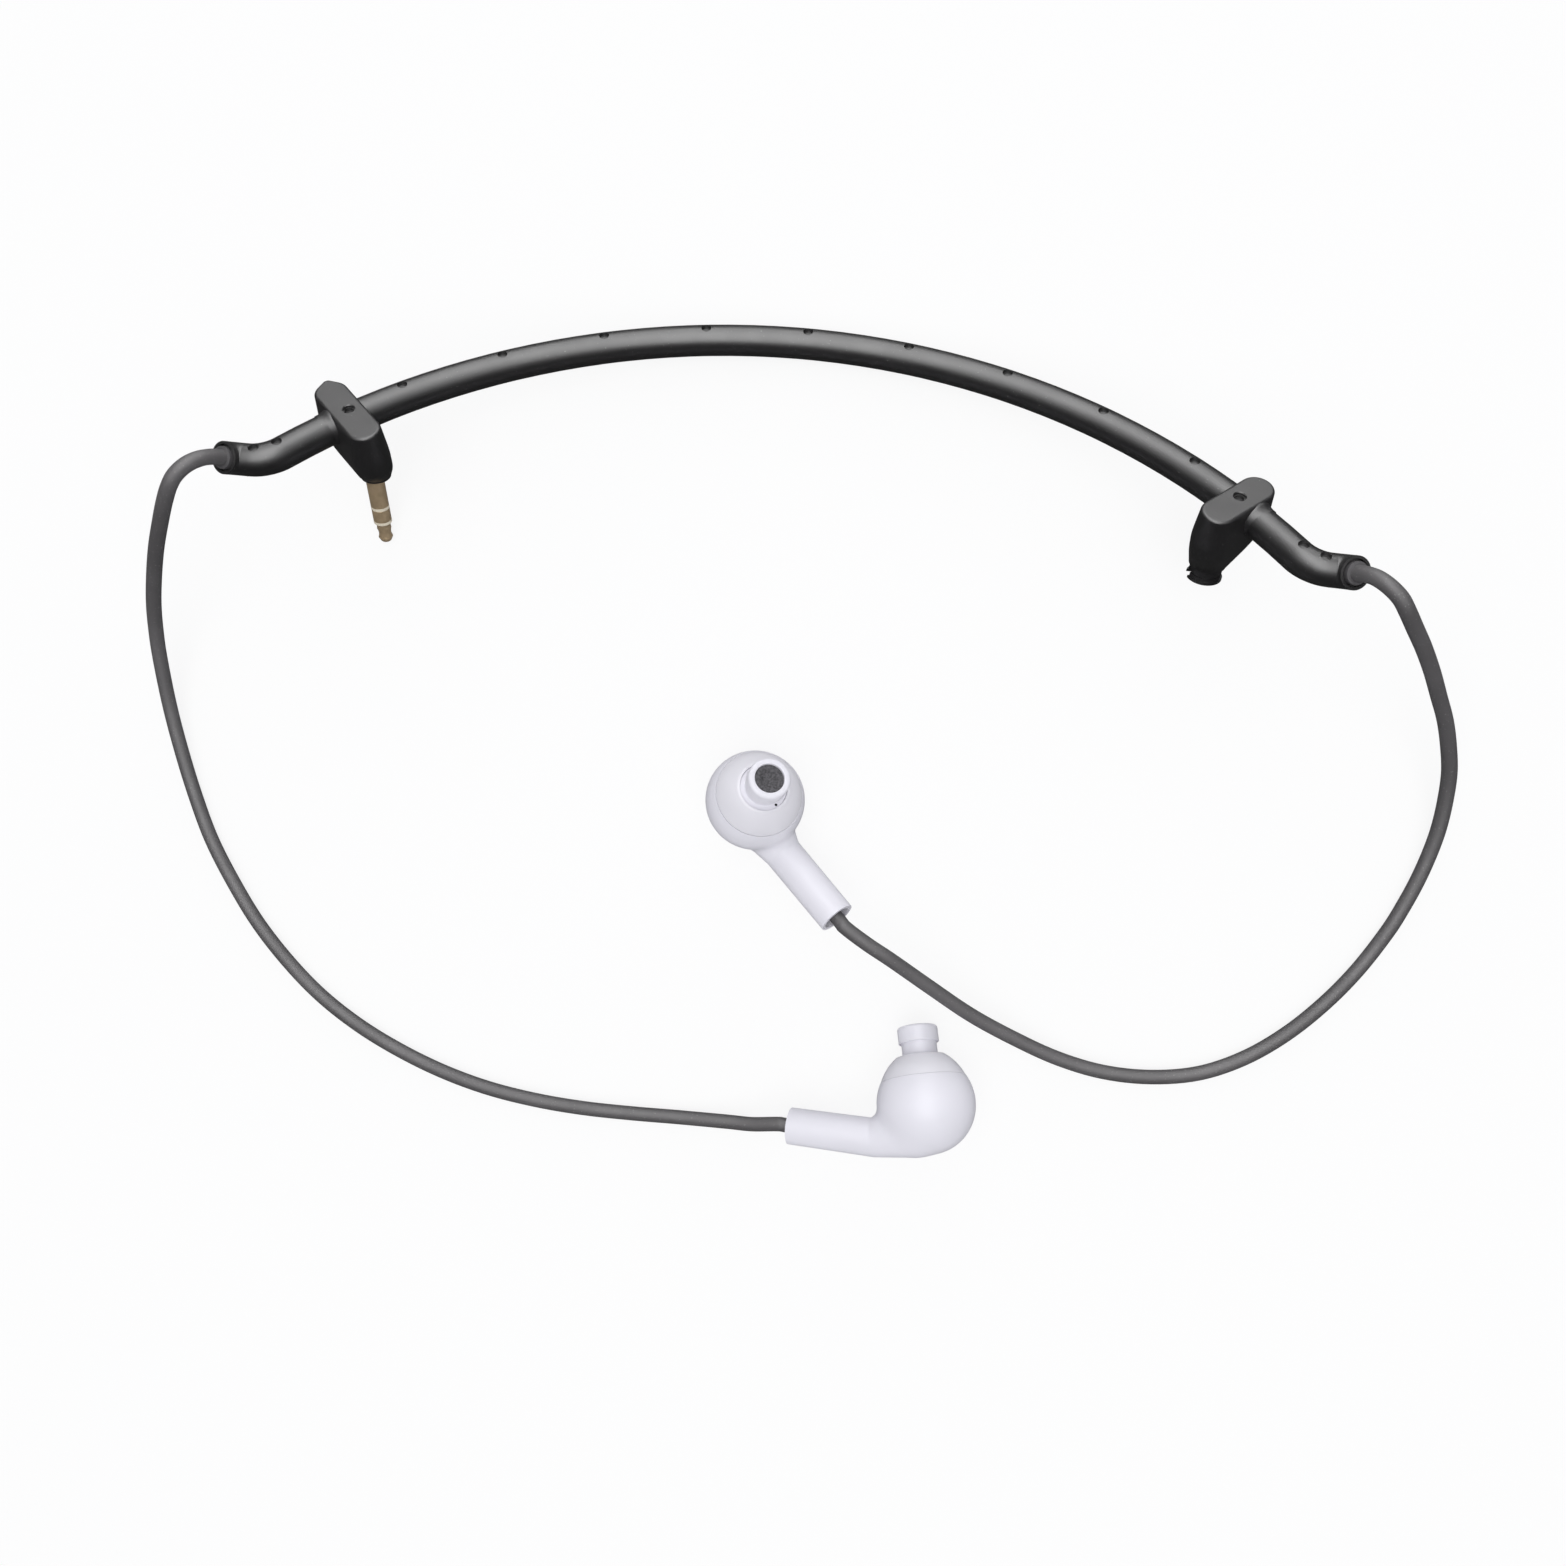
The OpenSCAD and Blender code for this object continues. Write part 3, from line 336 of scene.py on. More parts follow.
class Finish:
    """A material built up around one Principled shader."""

    def __init__(self, name, colour, roughness, metallic=0.0, specular=0.5):
        self.material = bpy.data.materials.new(name)
        self.material.use_nodes = True
        self.tree = self.material.node_tree
        self.shader = self.tree.nodes["Principled BSDF"]
        self.put("Base Color", (*colour, 1))
        self.put("Roughness", roughness)
        self.put("Metallic", metallic)
        self.put("Specular IOR Level", specular)
        self.place = self.add("ShaderNodeTexCoord").outputs["Object"]

    def put(self, socket, value):
        self.shader.inputs[socket].default_value = value

    def add(self, kind, **inputs):
        node = self.tree.nodes.new(kind)
        for socket, value in inputs.items():
            node.inputs[socket.replace("_", " ")].default_value = value
        return node

    def link(self, out, into):
        self.tree.links.new(out, into)

    def noise(self, scale, detail=2.0):
        node = self.add("ShaderNodeTexNoise", Scale=scale, Detail=detail)
        self.link(self.place, node.inputs["Vector"])
        return node.outputs["Fac"]

    def ramp(self, value, low, high):
        """A mask that rises from 0 to 1 between two values."""
        node = self.add("ShaderNodeValToRGB")
        first, last = node.color_ramp.elements
        first.position, first.color = low, (0, 0, 0, 1)
        last.position, last.color = high, (1, 1, 1, 1)
        self.link(value, node.inputs["Fac"])
        return node.outputs["Color"]

    def bump(self, height, distance, strength):
        node = self.add("ShaderNodeBump", Distance=distance, Strength=strength)
        self.link(height, node.inputs["Height"])
        self.link(node.outputs["Normal"], self.shader.inputs["Normal"])

    def tint(self, mask, colour):
        """Mixes this colour over what the base colour has so far."""
        node = self.tree.nodes.new("ShaderNodeMix")
        node.data_type = "RGBA"
        base = self.shader.inputs["Base Color"]
        if base.is_linked:
            self.link(base.links[0].from_socket, node.inputs["A"])
        else:
            node.inputs["A"].default_value = base.default_value
        node.inputs["B"].default_value = (*colour, 1)
        self.link(mask, node.inputs["Factor"])
        self.link(node.outputs["Result"], base)

    def uneven(self, scale, low, high):
        """Lets the roughness drift between two values."""
        node = self.add("ShaderNodeMapRange", To_Min=low, To_Max=high)
        self.link(self.noise(scale), node.inputs["Value"])
        self.link(node.outputs["Result"], self.shader.inputs["Roughness"])


def shade(colour, factor):
    return tuple(min(1.0, channel * factor) for channel in colour)


def rubber(name, colour, roughness, dust=0.0):
    """Satin rubber with a fine moulded grain, smudges and a little lint."""
    finish = Finish(name, colour, roughness)
    finish.put("IOR", 2.2)
    finish.tint(finish.ramp(finish.noise(60, 3), 0.45, 0.75), shade(colour, 1.5))
    if dust:
        specks = finish.ramp(finish.noise(3200, 1), dust, dust + 0.03)
        finish.tint(specks, (0.16, 0.155, 0.15))
    finish.uneven(180, roughness - 0.06, roughness + 0.08)
    finish.bump(finish.noise(5200, 2), 0.00002, 0.5)
    return finish.material


def plastic(name, colour, roughness):
    """Glossy moulded plastic with the faintest waviness."""
    finish = Finish(name, colour, roughness, specular=0.35)
    finish.tint(finish.ramp(finish.noise(90, 2), 0.4, 0.7), shade(colour, 0.965))
    finish.uneven(240, roughness - 0.04, roughness + 0.05)
    finish.bump(finish.noise(420, 1), 0.00004, 0.25)
    return finish.material


def metal(name, colour, roughness, metallic=1.0):
    """Plated metal with fine turning marks and slight tarnish."""
    finish = Finish(name, colour, roughness, metallic=metallic)
    finish.tint(finish.ramp(finish.noise(500, 3), 0.45, 0.8), shade(colour, 0.72))
    finish.uneven(900, roughness - 0.05, roughness + 0.10)
    finish.bump(finish.noise(4000, 1), 0.00001, 0.4)
    return finish.material


def foam(name, colour):
    """Open foam with dark cells."""
    finish = Finish(name, colour, 0.9, specular=0.15)
    finish.tint(finish.ramp(finish.noise(2600, 2), 0.35, 0.65), shade(colour, 1.9))
    finish.bump(finish.noise(3600, 2), 0.00012, 0.9)
    return finish.material


# ---- Making and placing pieces ----

def colours():
    return bpy.context.scene.earphone_colours


def sizes():
    return bpy.context.scene.earphone_sizes


def material(name):
    """The finish of this name, made once."""
    if name in bpy.data.materials:
        return bpy.data.materials[name]
    tone = colours()
    makers = {
        "Band rubber": lambda: rubber(name, tone.band, 0.42, dust=0.74),
        "Block rubber": lambda: rubber(name, tone.block, 0.46, dust=0.76),
        "Gland rubber": lambda: rubber(name, (0.060, 0.057, 0.060), 0.5),
        "Cord skin": lambda: rubber(name, tone.cord, 0.62, dust=0.69),
        "Plug plating": lambda: metal(name, tone.plug, 0.30, 0.55),
        "Insulator cream": lambda: plastic(name, (0.66, 0.60, 0.47), 0.35),
        "Housing white": lambda: plastic(name, tone.shell, 0.33),
        "Front pale grey": lambda: plastic(name, tone.front, 0.33),
        "Filter foam": lambda: foam(name, (0.070, 0.068, 0.072)),
        "Inner grey": lambda: plastic(name, (0.05, 0.05, 0.055), 0.5),
        "Spring steel": lambda: metal(name, (0.45, 0.46, 0.48), 0.32),
        "Nickel": lambda: metal(name, (0.62, 0.62, 0.64), 0.18),
        "Enamelled copper": lambda: metal(name, (0.50, 0.20, 0.09), 0.3),
        "Clear film": lambda: plastic(name, (0.45, 0.50, 0.56), 0.2),
        # Near-black colour: painted shade for the inside of the vent hole
        "Vent painted shade": lambda: plastic(name, (0.01, 0.01, 0.01), 0.6),
    }
    return makers[name]()


def add_piece(name, bm, place, body, finish, replaces, sharp=40):
    """Sets a piece drawn in millimetres in its place, in metres, and lets it ride on its body."""
    bm.transform(Matrix.Scale(MM, 4) @ place)
    if place.determinant() < 0:
        bmesh.ops.reverse_faces(bm, faces=bm.faces[:])
    mesh = bpy.data.meshes.new(name)
    bm.to_mesh(mesh)
    bm.free()
    mesh.materials.append(material(finish))
    mesh.polygons.foreach_set("use_smooth", [True] * len(mesh.polygons))
    piece = bpy.data.objects.new(name, mesh)
    bpy.context.scene.collection.objects.link(piece)
    mesh.set_sharp_from_angle(angle=math.radians(sharp))
    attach(piece, body)
    if replaces:
        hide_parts(*replaces)
    return piece


def turned(profile, closed=False, steps=96):
    """Spins a profile of (radius, height) points round the z axis."""
    bm = bmesh.new()
    verts = [bm.verts.new((radius, 0, height)) for radius, height in profile]
    edges = [bm.edges.new(pair) for pair in zip(verts, verts[1:])]
    if closed:
        edges.append(bm.edges.new((verts[-1], verts[0])))
    bmesh.ops.spin(
        bm, geom=verts + edges, cent=(0, 0, 0), axis=(0, 0, 1), dvec=(0, 0, 0),
        angle=math.tau, steps=steps, use_merge=True, use_duplicate=False,
    )
    bmesh.ops.remove_doubles(bm, verts=bm.verts[:], dist=1e-4)
    bmesh.ops.recalc_face_normals(bm, faces=bm.faces[:])
    return bm


def arc(centre, radius, start, end, steps):
    """Points on an arc, with its angles in degrees."""
    return [
        (
            centre[0] + radius * math.cos(math.radians(start + (end - start) * i / steps)),
            centre[1] + radius * math.sin(math.radians(start + (end - start) * i / steps)),
        )
        for i in range(steps + 1)
    ]


def bulged(a, b, radius, steps):
    """Points from a to b on an arc that bulges to the right of the way there."""
    a, b = Vector(a), Vector(b)
    half = (b - a).length / 2
    along = (b - a) / (2 * half)
    centre = (a + b) / 2 + math.sqrt(radius**2 - half**2) * Vector((-along.y, along.x))
    start = math.degrees(math.atan2(a.y - centre.y, a.x - centre.x))
    return arc(centre, radius, start, start + 2 * math.degrees(math.asin(half / radius)), steps)


def dress(names, finish):
    for name in names:
        mesh = NODES[name].data
        mesh.materials.clear()
        mesh.materials.append(material(finish))


# ---- Cords ----

def cord_route(side):
    """The middle line of a cord, from its gland to its stop, in metres."""
    end, stem = at_tail_end(side), at_stem(side)
    points = [end @ Vector((0, 0, GLAND_PROUD + out)) for out in (0, CORD_STRAIGHT_OUT)]
    points += [IN_PLACE @ Vector(point) for point in ROUTES[side]]
    points += [stem @ Vector((depth, 0, 0)) for depth in (-CORD_STRAIGHT_MOUTH, 0, CORD_IN)]
    count = len(points)
    line = []
    for i in range(count - 1):
        a, b, c, d = (points[min(max(k, 0), count - 1)] for k in (i - 1, i, i + 1, i + 2))
        for step in range(CORD_STEPS):
            t = step / CORD_STEPS
            line.append(
                (
                    2 * b + (c - a) * t + (2 * a - 5 * b + 4 * c - d) * t**2
                    + (3 * b - a - 3 * c + d) * t**3
                ) / 2 * MM
            )
    return line + [points[-1] * MM]


class EARPHONES_OT_cords(bpy.types.Operator):
    """Lays the two earbud cords"""

    bl_idname = "earphones.cords"
    bl_label = "Cords"

    def execute(self, context):
        width = sizes().cord_width
        for side, name in enumerate(SIDES):
            line = cord_route(side)
            curve = bpy.data.curves.new(name + "_cord_skin", "CURVE")
            curve.dimensions = "3D"
            curve.bevel_depth = width / 2
            curve.bevel_resolution = 6
            curve.use_fill_caps = True
            spline = curve.splines.new("POLY")
            spline.points.add(len(line) - 1)
            for point, place in zip(spline.points, line):
                point.co = (*place, 1)
            spline.use_smooth = True
            curve.materials.append(material("Cord skin"))
            piece = bpy.data.objects.new(name + "_cord_skin", curve)
            context.scene.collection.objects.link(piece)
            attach(piece, "band")
            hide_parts(name + "_cord")
        return {"FINISHED"}


# ---- Band, blocks and plug ----

class EARPHONES_OT_band(bpy.types.Operator):
    """Finishes the rubber band, its glands and what runs inside it"""

    bl_idname = "earphones.band"
    bl_label = "Band"

    def execute(self, context):
        dress(["band_tube"], "Band rubber")
        dress(["left_cord_gland", "right_cord_gland"], "Gland rubber")
        dress(["spring_wire"], "Spring steel")
        dress(["left_lead", "right_lead"], "Enamelled copper")
        return {"FINISHED"}


def round_ended(width, reach_in, reach_out, shift):
    """The two discs under a slot shape that is long in y."""
    radius = width / 2
    return [(-shift, reach_out - radius, radius), (-shift, radius - reach_in, radius)]


def body_discs(side, width, margin_in, margin_out, shift):
    """The discs under a block's body, with its ends this far outside the face's."""
    reach_out = FACE_OUT[side] - (PEAK_RISE if side == LEFT else 0)
    return round_ended(width, FACE_IN[side] + margin_in, reach_out + margin_out, shift)


def face_discs(side, margin=0.0):
    """The discs under a block's face, smaller all round by a margin. The left face has a peak."""
    discs = body_discs(side, FACE_W - 2 * margin, -margin, -margin, FACE_SHIFT)
    if side == LEFT:
        discs.append((-PEAK_SHIFT, FACE_OUT[LEFT] - PEAK_R - margin, PEAK_R))
    return discs


def tight_round(discs, place, points=96):
    """Points on the line drawn tight round a few discs."""
    line = []
    for i in range(points):
        x, y = math.cos(math.tau * i / points), math.sin(math.tau * i / points)
        disc = max(discs, key=lambda d: d[0] * x + d[1] * y + d[2])
        line.append((place @ Vector((disc[0] + disc[2] * x, disc[1] + disc[2] * y, 0)))[:])
    return np.array(line)


def eased(levels, share=0.3, steps=5):
    """The same loft with its inner levels rounded off."""
    loops = [levels[0]]
    for above, here, below in zip(levels, levels[1:], levels[2:]):
        for step in range(steps + 1):
            t = step / steps
            loops.append(here + share * ((1 - t) ** 2 * (above - here) + t**2 * (below - here)))
    return loops + [levels[-1]]


def block_shape(side, rounding):
    """A block lofted from the floor of the hole in its face down to its narrow end."""
    hole = [(*HOLE_AT, HOLE_D / 2)]
    mouth = [(*HOLE_AT, HOLE_D / 2 + HOLE_CHAMFER)]
    face_steps, foot_steps = 6, 5
    loops = [
        tight_round(hole, move(0, 0, FACE_H - HOLE_DEPTH)),
        tight_round(hole, move(0, 0, FACE_H - HOLE_CHAMFER)),
        tight_round(mouth, move(0, 0, FACE_H)),
        tight_round(face_discs(side, rounding + FACE_FLAT_IN), move(0, 0, FACE_H)),
    ]
    for step in range(face_steps):
        swing = math.radians(90 * step / face_steps)
        margin, drop = rounding * (1 - math.sin(swing)), rounding * (1 - math.cos(swing))
        loops.append(tight_round(face_discs(side, margin), move(0, 0, FACE_H - drop)))
    foot = foot_in_block(side) @ turn(BLOCK_AT, "Z")
    end_r = BLOCK_END_D[side] / 2
    loops += eased([
        tight_round(face_discs(side), move(0, 0, FACE_H - rounding)),
        tight_round(body_discs(side, *WAIST), move(0, 0, -TUBE_R)),
        tight_round(body_discs(side, *SHOULDER), move(0, 0, -SHOULDER_DEPTH)),
        tight_round([(FOOT_SHIFT[side], 0, end_r)], foot @ move(0, 0, rounding)),
    ])
    for step in range(1, foot_steps + 1):
        swing = math.radians(90 * step / foot_steps)
        radius = end_r - rounding * (1 - math.cos(swing))
        level = foot @ move(0, 0, rounding * (1 - math.sin(swing)))
        loops.append(tight_round([(FOOT_SHIFT[side], 0, radius)], level))
    bm = bmesh.new()
    ring = bmesh.ops.create_circle(bm, cap_ends=True, radius=1, segments=len(loops[0]))["verts"]
    for vert, point in zip(ring, loops[0]):
        vert.co = point
    for line in loops[1:]:
        rim = [edge for edge in bm.edges if edge.is_boundary]
        made = set(bmesh.ops.extrude_edge_only(bm, edges=rim)["geom"])
        ring = [
            next(e.other_vert(vert) for e in vert.link_edges if e.other_vert(vert) in made)
            for vert in ring
        ]
        for vert, point in zip(ring, line):
            vert.co = point
    bmesh.ops.edgeloop_fill(bm, edges=[edge for edge in bm.edges if edge.is_boundary])
    bmesh.ops.recalc_face_normals(bm, faces=bm.faces[:])
    return bm


class EARPHONES_OT_blocks(bpy.types.Operator):
    """Moulds the two blocks, with the collar where each tail leaves"""

    bl_idname = "earphones.blocks"
    bl_label = "Blocks"

    def execute(self, context):
        for side, name in enumerate(SIDES):
            add_piece(
                name + "_block_body", block_shape(side, sizes().face_round / MM), at_block(side),
                "band", "Block rubber", [name + "_block"], sharp=35,
            )
            inner, edge, root = TUBE_R - COLLAR_SUNK, TUBE_R + COLLAR_EDGE_T, COLLAR_D / 2
            start, end = COLLAR_AT - COLLAR_ROOT_LEN, COLLAR_AT + COLLAR_LEN
            rise = root - edge
            fillet = (COLLAR_LEN**2 + rise**2) / (2 * rise)
            swing = math.degrees(math.asin(COLLAR_LEN / fillet))
            collar = turned(
                [(inner, start), (root, start)]
                + arc((edge + fillet, end), fillet, 180 + swing, 180, 10)
                + [(inner, end)],
                closed=True, steps=64,
            )
            add_piece(
                name + "_block_collar", collar, at_block(side) @ turn(-90, "Y"),
                "band", "Block rubber", [name + "_block"], sharp=50,
            )
        dress(["stub_sleeve"], "Block rubber")
        return {"FINISHED"}


class EARPHONES_OT_plug(bpy.types.Operator):
    """Turns the plug's contacts and its insulating rings"""

    bl_idname = "earphones.plug"
    bl_label = "Plug"

    def execute(self, context):
        r = PLUG_D / 2
        ring_top = -SLEEVE_LEN - INSULATOR_LEN
        tip_top = ring_top - RING_LEN - INSULATOR_LEN
        soft, core = PLUG_EDGE, PLUG_CORE_R
        contacts = {
            "plug_sleeve": [
                (core, PLUG_SUNK), (r, PLUG_SUNK), (r, -SLEEVE_LEN + soft),
                (r - soft, -SLEEVE_LEN), (core, -SLEEVE_LEN),
            ],
            "plug_ring": [
                (core, ring_top), (r - soft, ring_top), (r, ring_top - soft),
                (r, ring_top - RING_LEN + soft), (r - soft, ring_top - RING_LEN),
                (core, ring_top - RING_LEN),
            ],
        }
        for name, profile in contacts.items():
            add_piece(
                name + "_turned", turned(profile, closed=True), at_plug(), "band",
                "Plug plating", [name],
            )
        waist_r, bulb_r, tip_end = TIP_WAIST_D / 2, TIP_BULB_D / 2, tip_top - TIP_LEN
        tip = [(0, tip_top), (r - TIP_SHOULDER_IN, tip_top)]
        tip += [(waist_r, tip_top - drop) for drop in TIP_WAIST_AT]
        tip += bulged(
            (waist_r + TIP_BULB_START, tip_top - TIP_BULB_AT),
            (bulb_r - TIP_NOSE_EDGE, tip_end + TIP_NOSE_LEN), TIP_BULB_CURVE, 10,
        )
        tip += [(TIP_FLAT_R + TIP_NOSE_EDGE, tip_end + TIP_NOSE_EDGE), (TIP_FLAT_R, tip_end)]
        tip += [(0, tip_end)]
        add_piece(
            "plug_tip_turned", turned(tip), at_plug(), "band", "Plug plating",
            ["plug_tip"],
        )
        for part, top in (("upper", -SLEEVE_LEN), ("lower", ring_top - RING_LEN)):
            end, proud_r, edge_r = top - INSULATOR_LEN, r + INSULATOR_PROUD, r - INSULATOR_SUNK
            ring = turned(
                [(core, top), (edge_r, top), (proud_r, top - INSULATOR_EDGE)]
                + [(proud_r, end + INSULATOR_EDGE), (edge_r, end), (core, end)],
                closed=True,
            )
            add_piece(
                "plug_insulator_" + part, ring, at_plug(), "band", "Insulator cream",
                ["plug_insulators"],
            )
        dress(["plug_terminals"], "Plug plating")
        return {"FINISHED"}


# ---- Earbuds ----

def round_cone(points, a, b, r1, r2):
    """Distance of each point to two balls and the skin drawn tight over them."""
    a, b = np.array(a, float), np.array(b, float)
    ba = b - a
    l2 = ba @ ba
    rr = r1 - r2
    a2 = l2 - rr * rr
    pa = points - a
    y = pa @ ba
    z = y - l2
    x2 = ((pa * l2 - np.outer(y, ba)) ** 2).sum(axis=1)
    y2, z2 = y * y * l2, z * z * l2
    k = np.sign(rr) * rr * rr * x2
    far = np.sqrt(x2 + z2) / l2 - r2
    near = np.sqrt(x2 + y2) / l2 - r1
    side = (np.sqrt(x2 * a2 / l2) + y * rr) / l2 - r1
    return np.where(np.sign(z) * a2 * z2 > k, far, np.where(np.sign(y) * a2 * y2 < k, near, side))


# Centre and radius of the balls under a stem and its elbow, in the frame of the stem
ARM = (
    ((-STEM_PAST_MOUTH, 0, 0), STEM_D / 2),
    ((STRAIGHT_LEN, 0, 0), ELBOW_D / 2),
    ((STEM_LEN - ELBOW_END_SHORT, 0, ELBOW_END_H), ELBOW_END_R),
)


def shell_field(points, fillet):
    """Distance to the outside of a rear shell, in the frame of its stem."""
    ball = np.linalg.norm(points - np.array([STEM_LEN, 0, STEM_OFFSET]), axis=1) - BALL_D / 2
    (start, start_r), (bend, bend_r), (end, end_r) = ARM
    stem = round_cone(points, start, bend, start_r, bend_r)
    elbow = round_cone(points, bend, end, bend_r, end_r)
    arm = np.minimum(stem, elbow)
    near = np.maximum(fillet - np.abs(arm - ball), 0) / fillet
    return np.minimum(arm, ball) - near * near * fillet / 4


def skinned_shell(fillet):
    """One smooth skin over the ball, the elbow and the stem, cut off at the seam and the mouth."""
    bm = bmesh.new()
    ball = move(STEM_LEN, 0, STEM_OFFSET)
    bmesh.ops.create_icosphere(bm, subdivisions=4, radius=BALL_D / 2, matrix=ball)
    for centre, radius in ARM:
        bmesh.ops.create_icosphere(bm, subdivisions=3, radius=radius, matrix=move(*centre))
    stem_len = STRAIGHT_LEN + STEM_PAST_MOUTH
    bmesh.ops.create_cone(
        bm, cap_ends=True, segments=48, radius1=STEM_D / 2, radius2=ELBOW_D / 2,
        depth=stem_len, matrix=move(stem_len / 2 - STEM_PAST_MOUTH, 0, 0) @ turn(90, "Y"),
    )
    mesh = bpy.data.meshes.new("shell_source")
    bm.to_mesh(mesh)
    bm.free()
    source = bpy.data.objects.new("shell_source", mesh)
    bpy.context.scene.collection.objects.link(source)
    remesh = source.modifiers.new("Skin", "REMESH")
    remesh.mode = "VOXEL"
    remesh.voxel_size = SKIN_CELL
    evaluated = source.evaluated_get(bpy.context.evaluated_depsgraph_get())
    bm = bmesh.new()
    bm.from_mesh(evaluated.data)
    bpy.data.objects.remove(source)
    points = np.array([vert.co[:] for vert in bm.verts])
    reach, least_slope = 0.01, 0.2
    for _ in range(8):
        value = shell_field(points, fillet)
        slope = np.stack(
            [
                (shell_field(points + step, fillet) - shell_field(points - step, fillet))
                / (2 * reach)
                for step in np.eye(3) * reach
            ],
            axis=1,
        )
        points -= slope * (value / np.maximum((slope**2).sum(axis=1), least_slope))[:, None]
    for vert, place in zip(bm.verts, points):
        vert.co = place
    seam = BALL_IN_STEM @ Vector((0, 0, SEAM_H))
    nozzle_way = BALL_IN_STEM.to_3x3() @ Vector((0, 0, 1))
    for point, way in ((seam, nozzle_way), (Vector((0, 0, 0)), Vector((-1, 0, 0)))):
        bmesh.ops.bisect_plane(
            bm, geom=bm.verts[:] + bm.edges[:] + bm.faces[:], dist=1e-4,
            plane_co=point, plane_no=way, clear_outer=True,
        )
    return bm


class EARPHONES_OT_rear_shells(bpy.types.Operator):
    """Moulds the rear shells, each a ball that runs into its stem"""

    bl_idname = "earphones.rear_shells"
    bl_label = "Rear shells"

    def execute(self, context):
        for side, name in enumerate(SIDES):
            piece = add_piece(
                name + "_shell_skin", skinned_shell(sizes().shell_blend / MM), at_stem(side),
                name + "_bud", "Housing white", [name + "_rear_shell"], sharp=60,
            )
            wall = piece.modifiers.new("Wall", "SOLIDIFY")
            wall.thickness = SHELL_WALL * MM
            wall.offset = -1
            edges = piece.modifiers.new("Rim", "BEVEL")
            edges.width = SHELL_RIM_ROUND * MM
            edges.segments = 2
            edges.limit_method = "ANGLE"
            edges.angle_limit = math.radians(60)
            edges.harden_normals = True
        return {"FINISHED"}


class EARPHONES_OT_fronts(bpy.types.Operator):
    """Turns the front shells, the nozzles and the foam in them"""

    bl_idname = "earphones.fronts"
    bl_label = "Fronts"

    def execute(self, context):
        seam_r = math.sqrt((BALL_D / 2) ** 2 - SEAM_H**2)
        edge_r = seam_r - SEAM_STEP
        open_r = NOZZLE_BASE_D / 2
        wall_r, lip_r, lip_h = edge_r - FRONT_WALL, edge_r - FRONT_LIP_T, SEAM_H - FRONT_LIP_LEN
        under = NOZZLE_BASE_H - NOZZLE_BASE_T
        for side, name in enumerate(SIDES):
            body = name + "_bud"
            shell = [(wall_r, lip_h), (lip_r, lip_h), (lip_r, SEAM_H)]
            shell += [(edge_r - SEAM_EDGE, SEAM_H)]
            shell += bulged(
                (edge_r, SEAM_H + SEAM_EDGE), (open_r + FRONT_BROW, NOZZLE_BASE_H), FRONT_CURVE, 20
            )
            shell += [(open_r, NOZZLE_BASE_H), (open_r, under), (wall_r, SEAM_H)]
            add_piece(
                name + "_front_turned", turned(shell, closed=True), at_ball(side), body,
                "Front pale grey", [name + "_front_shell"],
            )
            neck_r, flange_r, bore_r = NECK_D / 2, FLANGE_D / 2, NOZZLE_BORE / 2
            neck_top, top = NOZZLE_BASE_H + NECK_LEN, NOZZLE_END_H
            base_r, seat = open_r - NOZZLE_BASE_GAP, NOZZLE_BASE_H - NOZZLE_SEAT_DROP
            nozzle = [(bore_r, under), (base_r, under), (base_r, seat - NOZZLE_BASE_EDGE)]
            nozzle += [(base_r - NOZZLE_BASE_EDGE, seat)]
            nozzle += arc((neck_r + NECK_FILLET, seat + NECK_FILLET), NECK_FILLET, -90, -180, 5)
            nozzle += [(neck_r, neck_top), (flange_r - FLANGE_EDGE, neck_top)]
            nozzle += [(flange_r, neck_top + FLANGE_EDGE)]
            nozzle += arc((flange_r - FLANGE_ROUND, top - FLANGE_ROUND), FLANGE_ROUND, 0, 90, 8)
            mouth = (bore_r + NOZZLE_BORE_ROUND, top - NOZZLE_BORE_ROUND)
            nozzle += arc(mouth, NOZZLE_BORE_ROUND, 90, 180, 3)
            add_piece(
                name + "_nozzle_turned", turned(nozzle, closed=True), at_ball(side), body,
                "Housing white", [name + "_nozzle"],
            )
            foam_top = top - FILTER_DEPTH
            foam_r = bore_r - FILTER_GAP
            disc = [(0, foam_top - FILTER_T), (foam_r, foam_top - FILTER_T)]
            disc += [(foam_r, foam_top + FILTER_CROWN)]
            disc += [(radius, foam_top - depth) for radius, depth in FILTER_DISH]
            add_piece(
                name + "_filter_foam", turned(disc), at_ball(side), body,
                "Filter foam", [name + "_nozzle_filter"], sharp=60,
            )
            # A near-black plug on the nozzle's base, painted shade in place of the vent hole's
            # shaded inside
            add_piece(
                name + "_vent", turned(VENT_FLOOR, steps=24),
                at_ball(side) @ move((NECK_D + NOZZLE_BASE_D) / 4, 0, seat),
                body, "Vent painted shade", [],
            )
            dress([name + "_driver_frame", name + "_stem_bush"], "Inner grey")
            dress([name + "_yoke", name + "_pole_plate", name + "_cord_stop"], "Spring steel")
            dress([name + "_magnet"], "Nickel")
            dress([name + "_voice_coil"], "Enamelled copper")
            dress([name + "_diaphragm"], "Clear film")
        return {"FINISHED"}


# ---- Stage ----

REFLECTED_FLOOR = 0.05
FLOOR_GLOW = 0.86
ROOM_COLOUR = (0.93, 0.94, 1.0, 1)
ROOM_GLOW, REFLECTED_ROOM = 0.45, 0.015
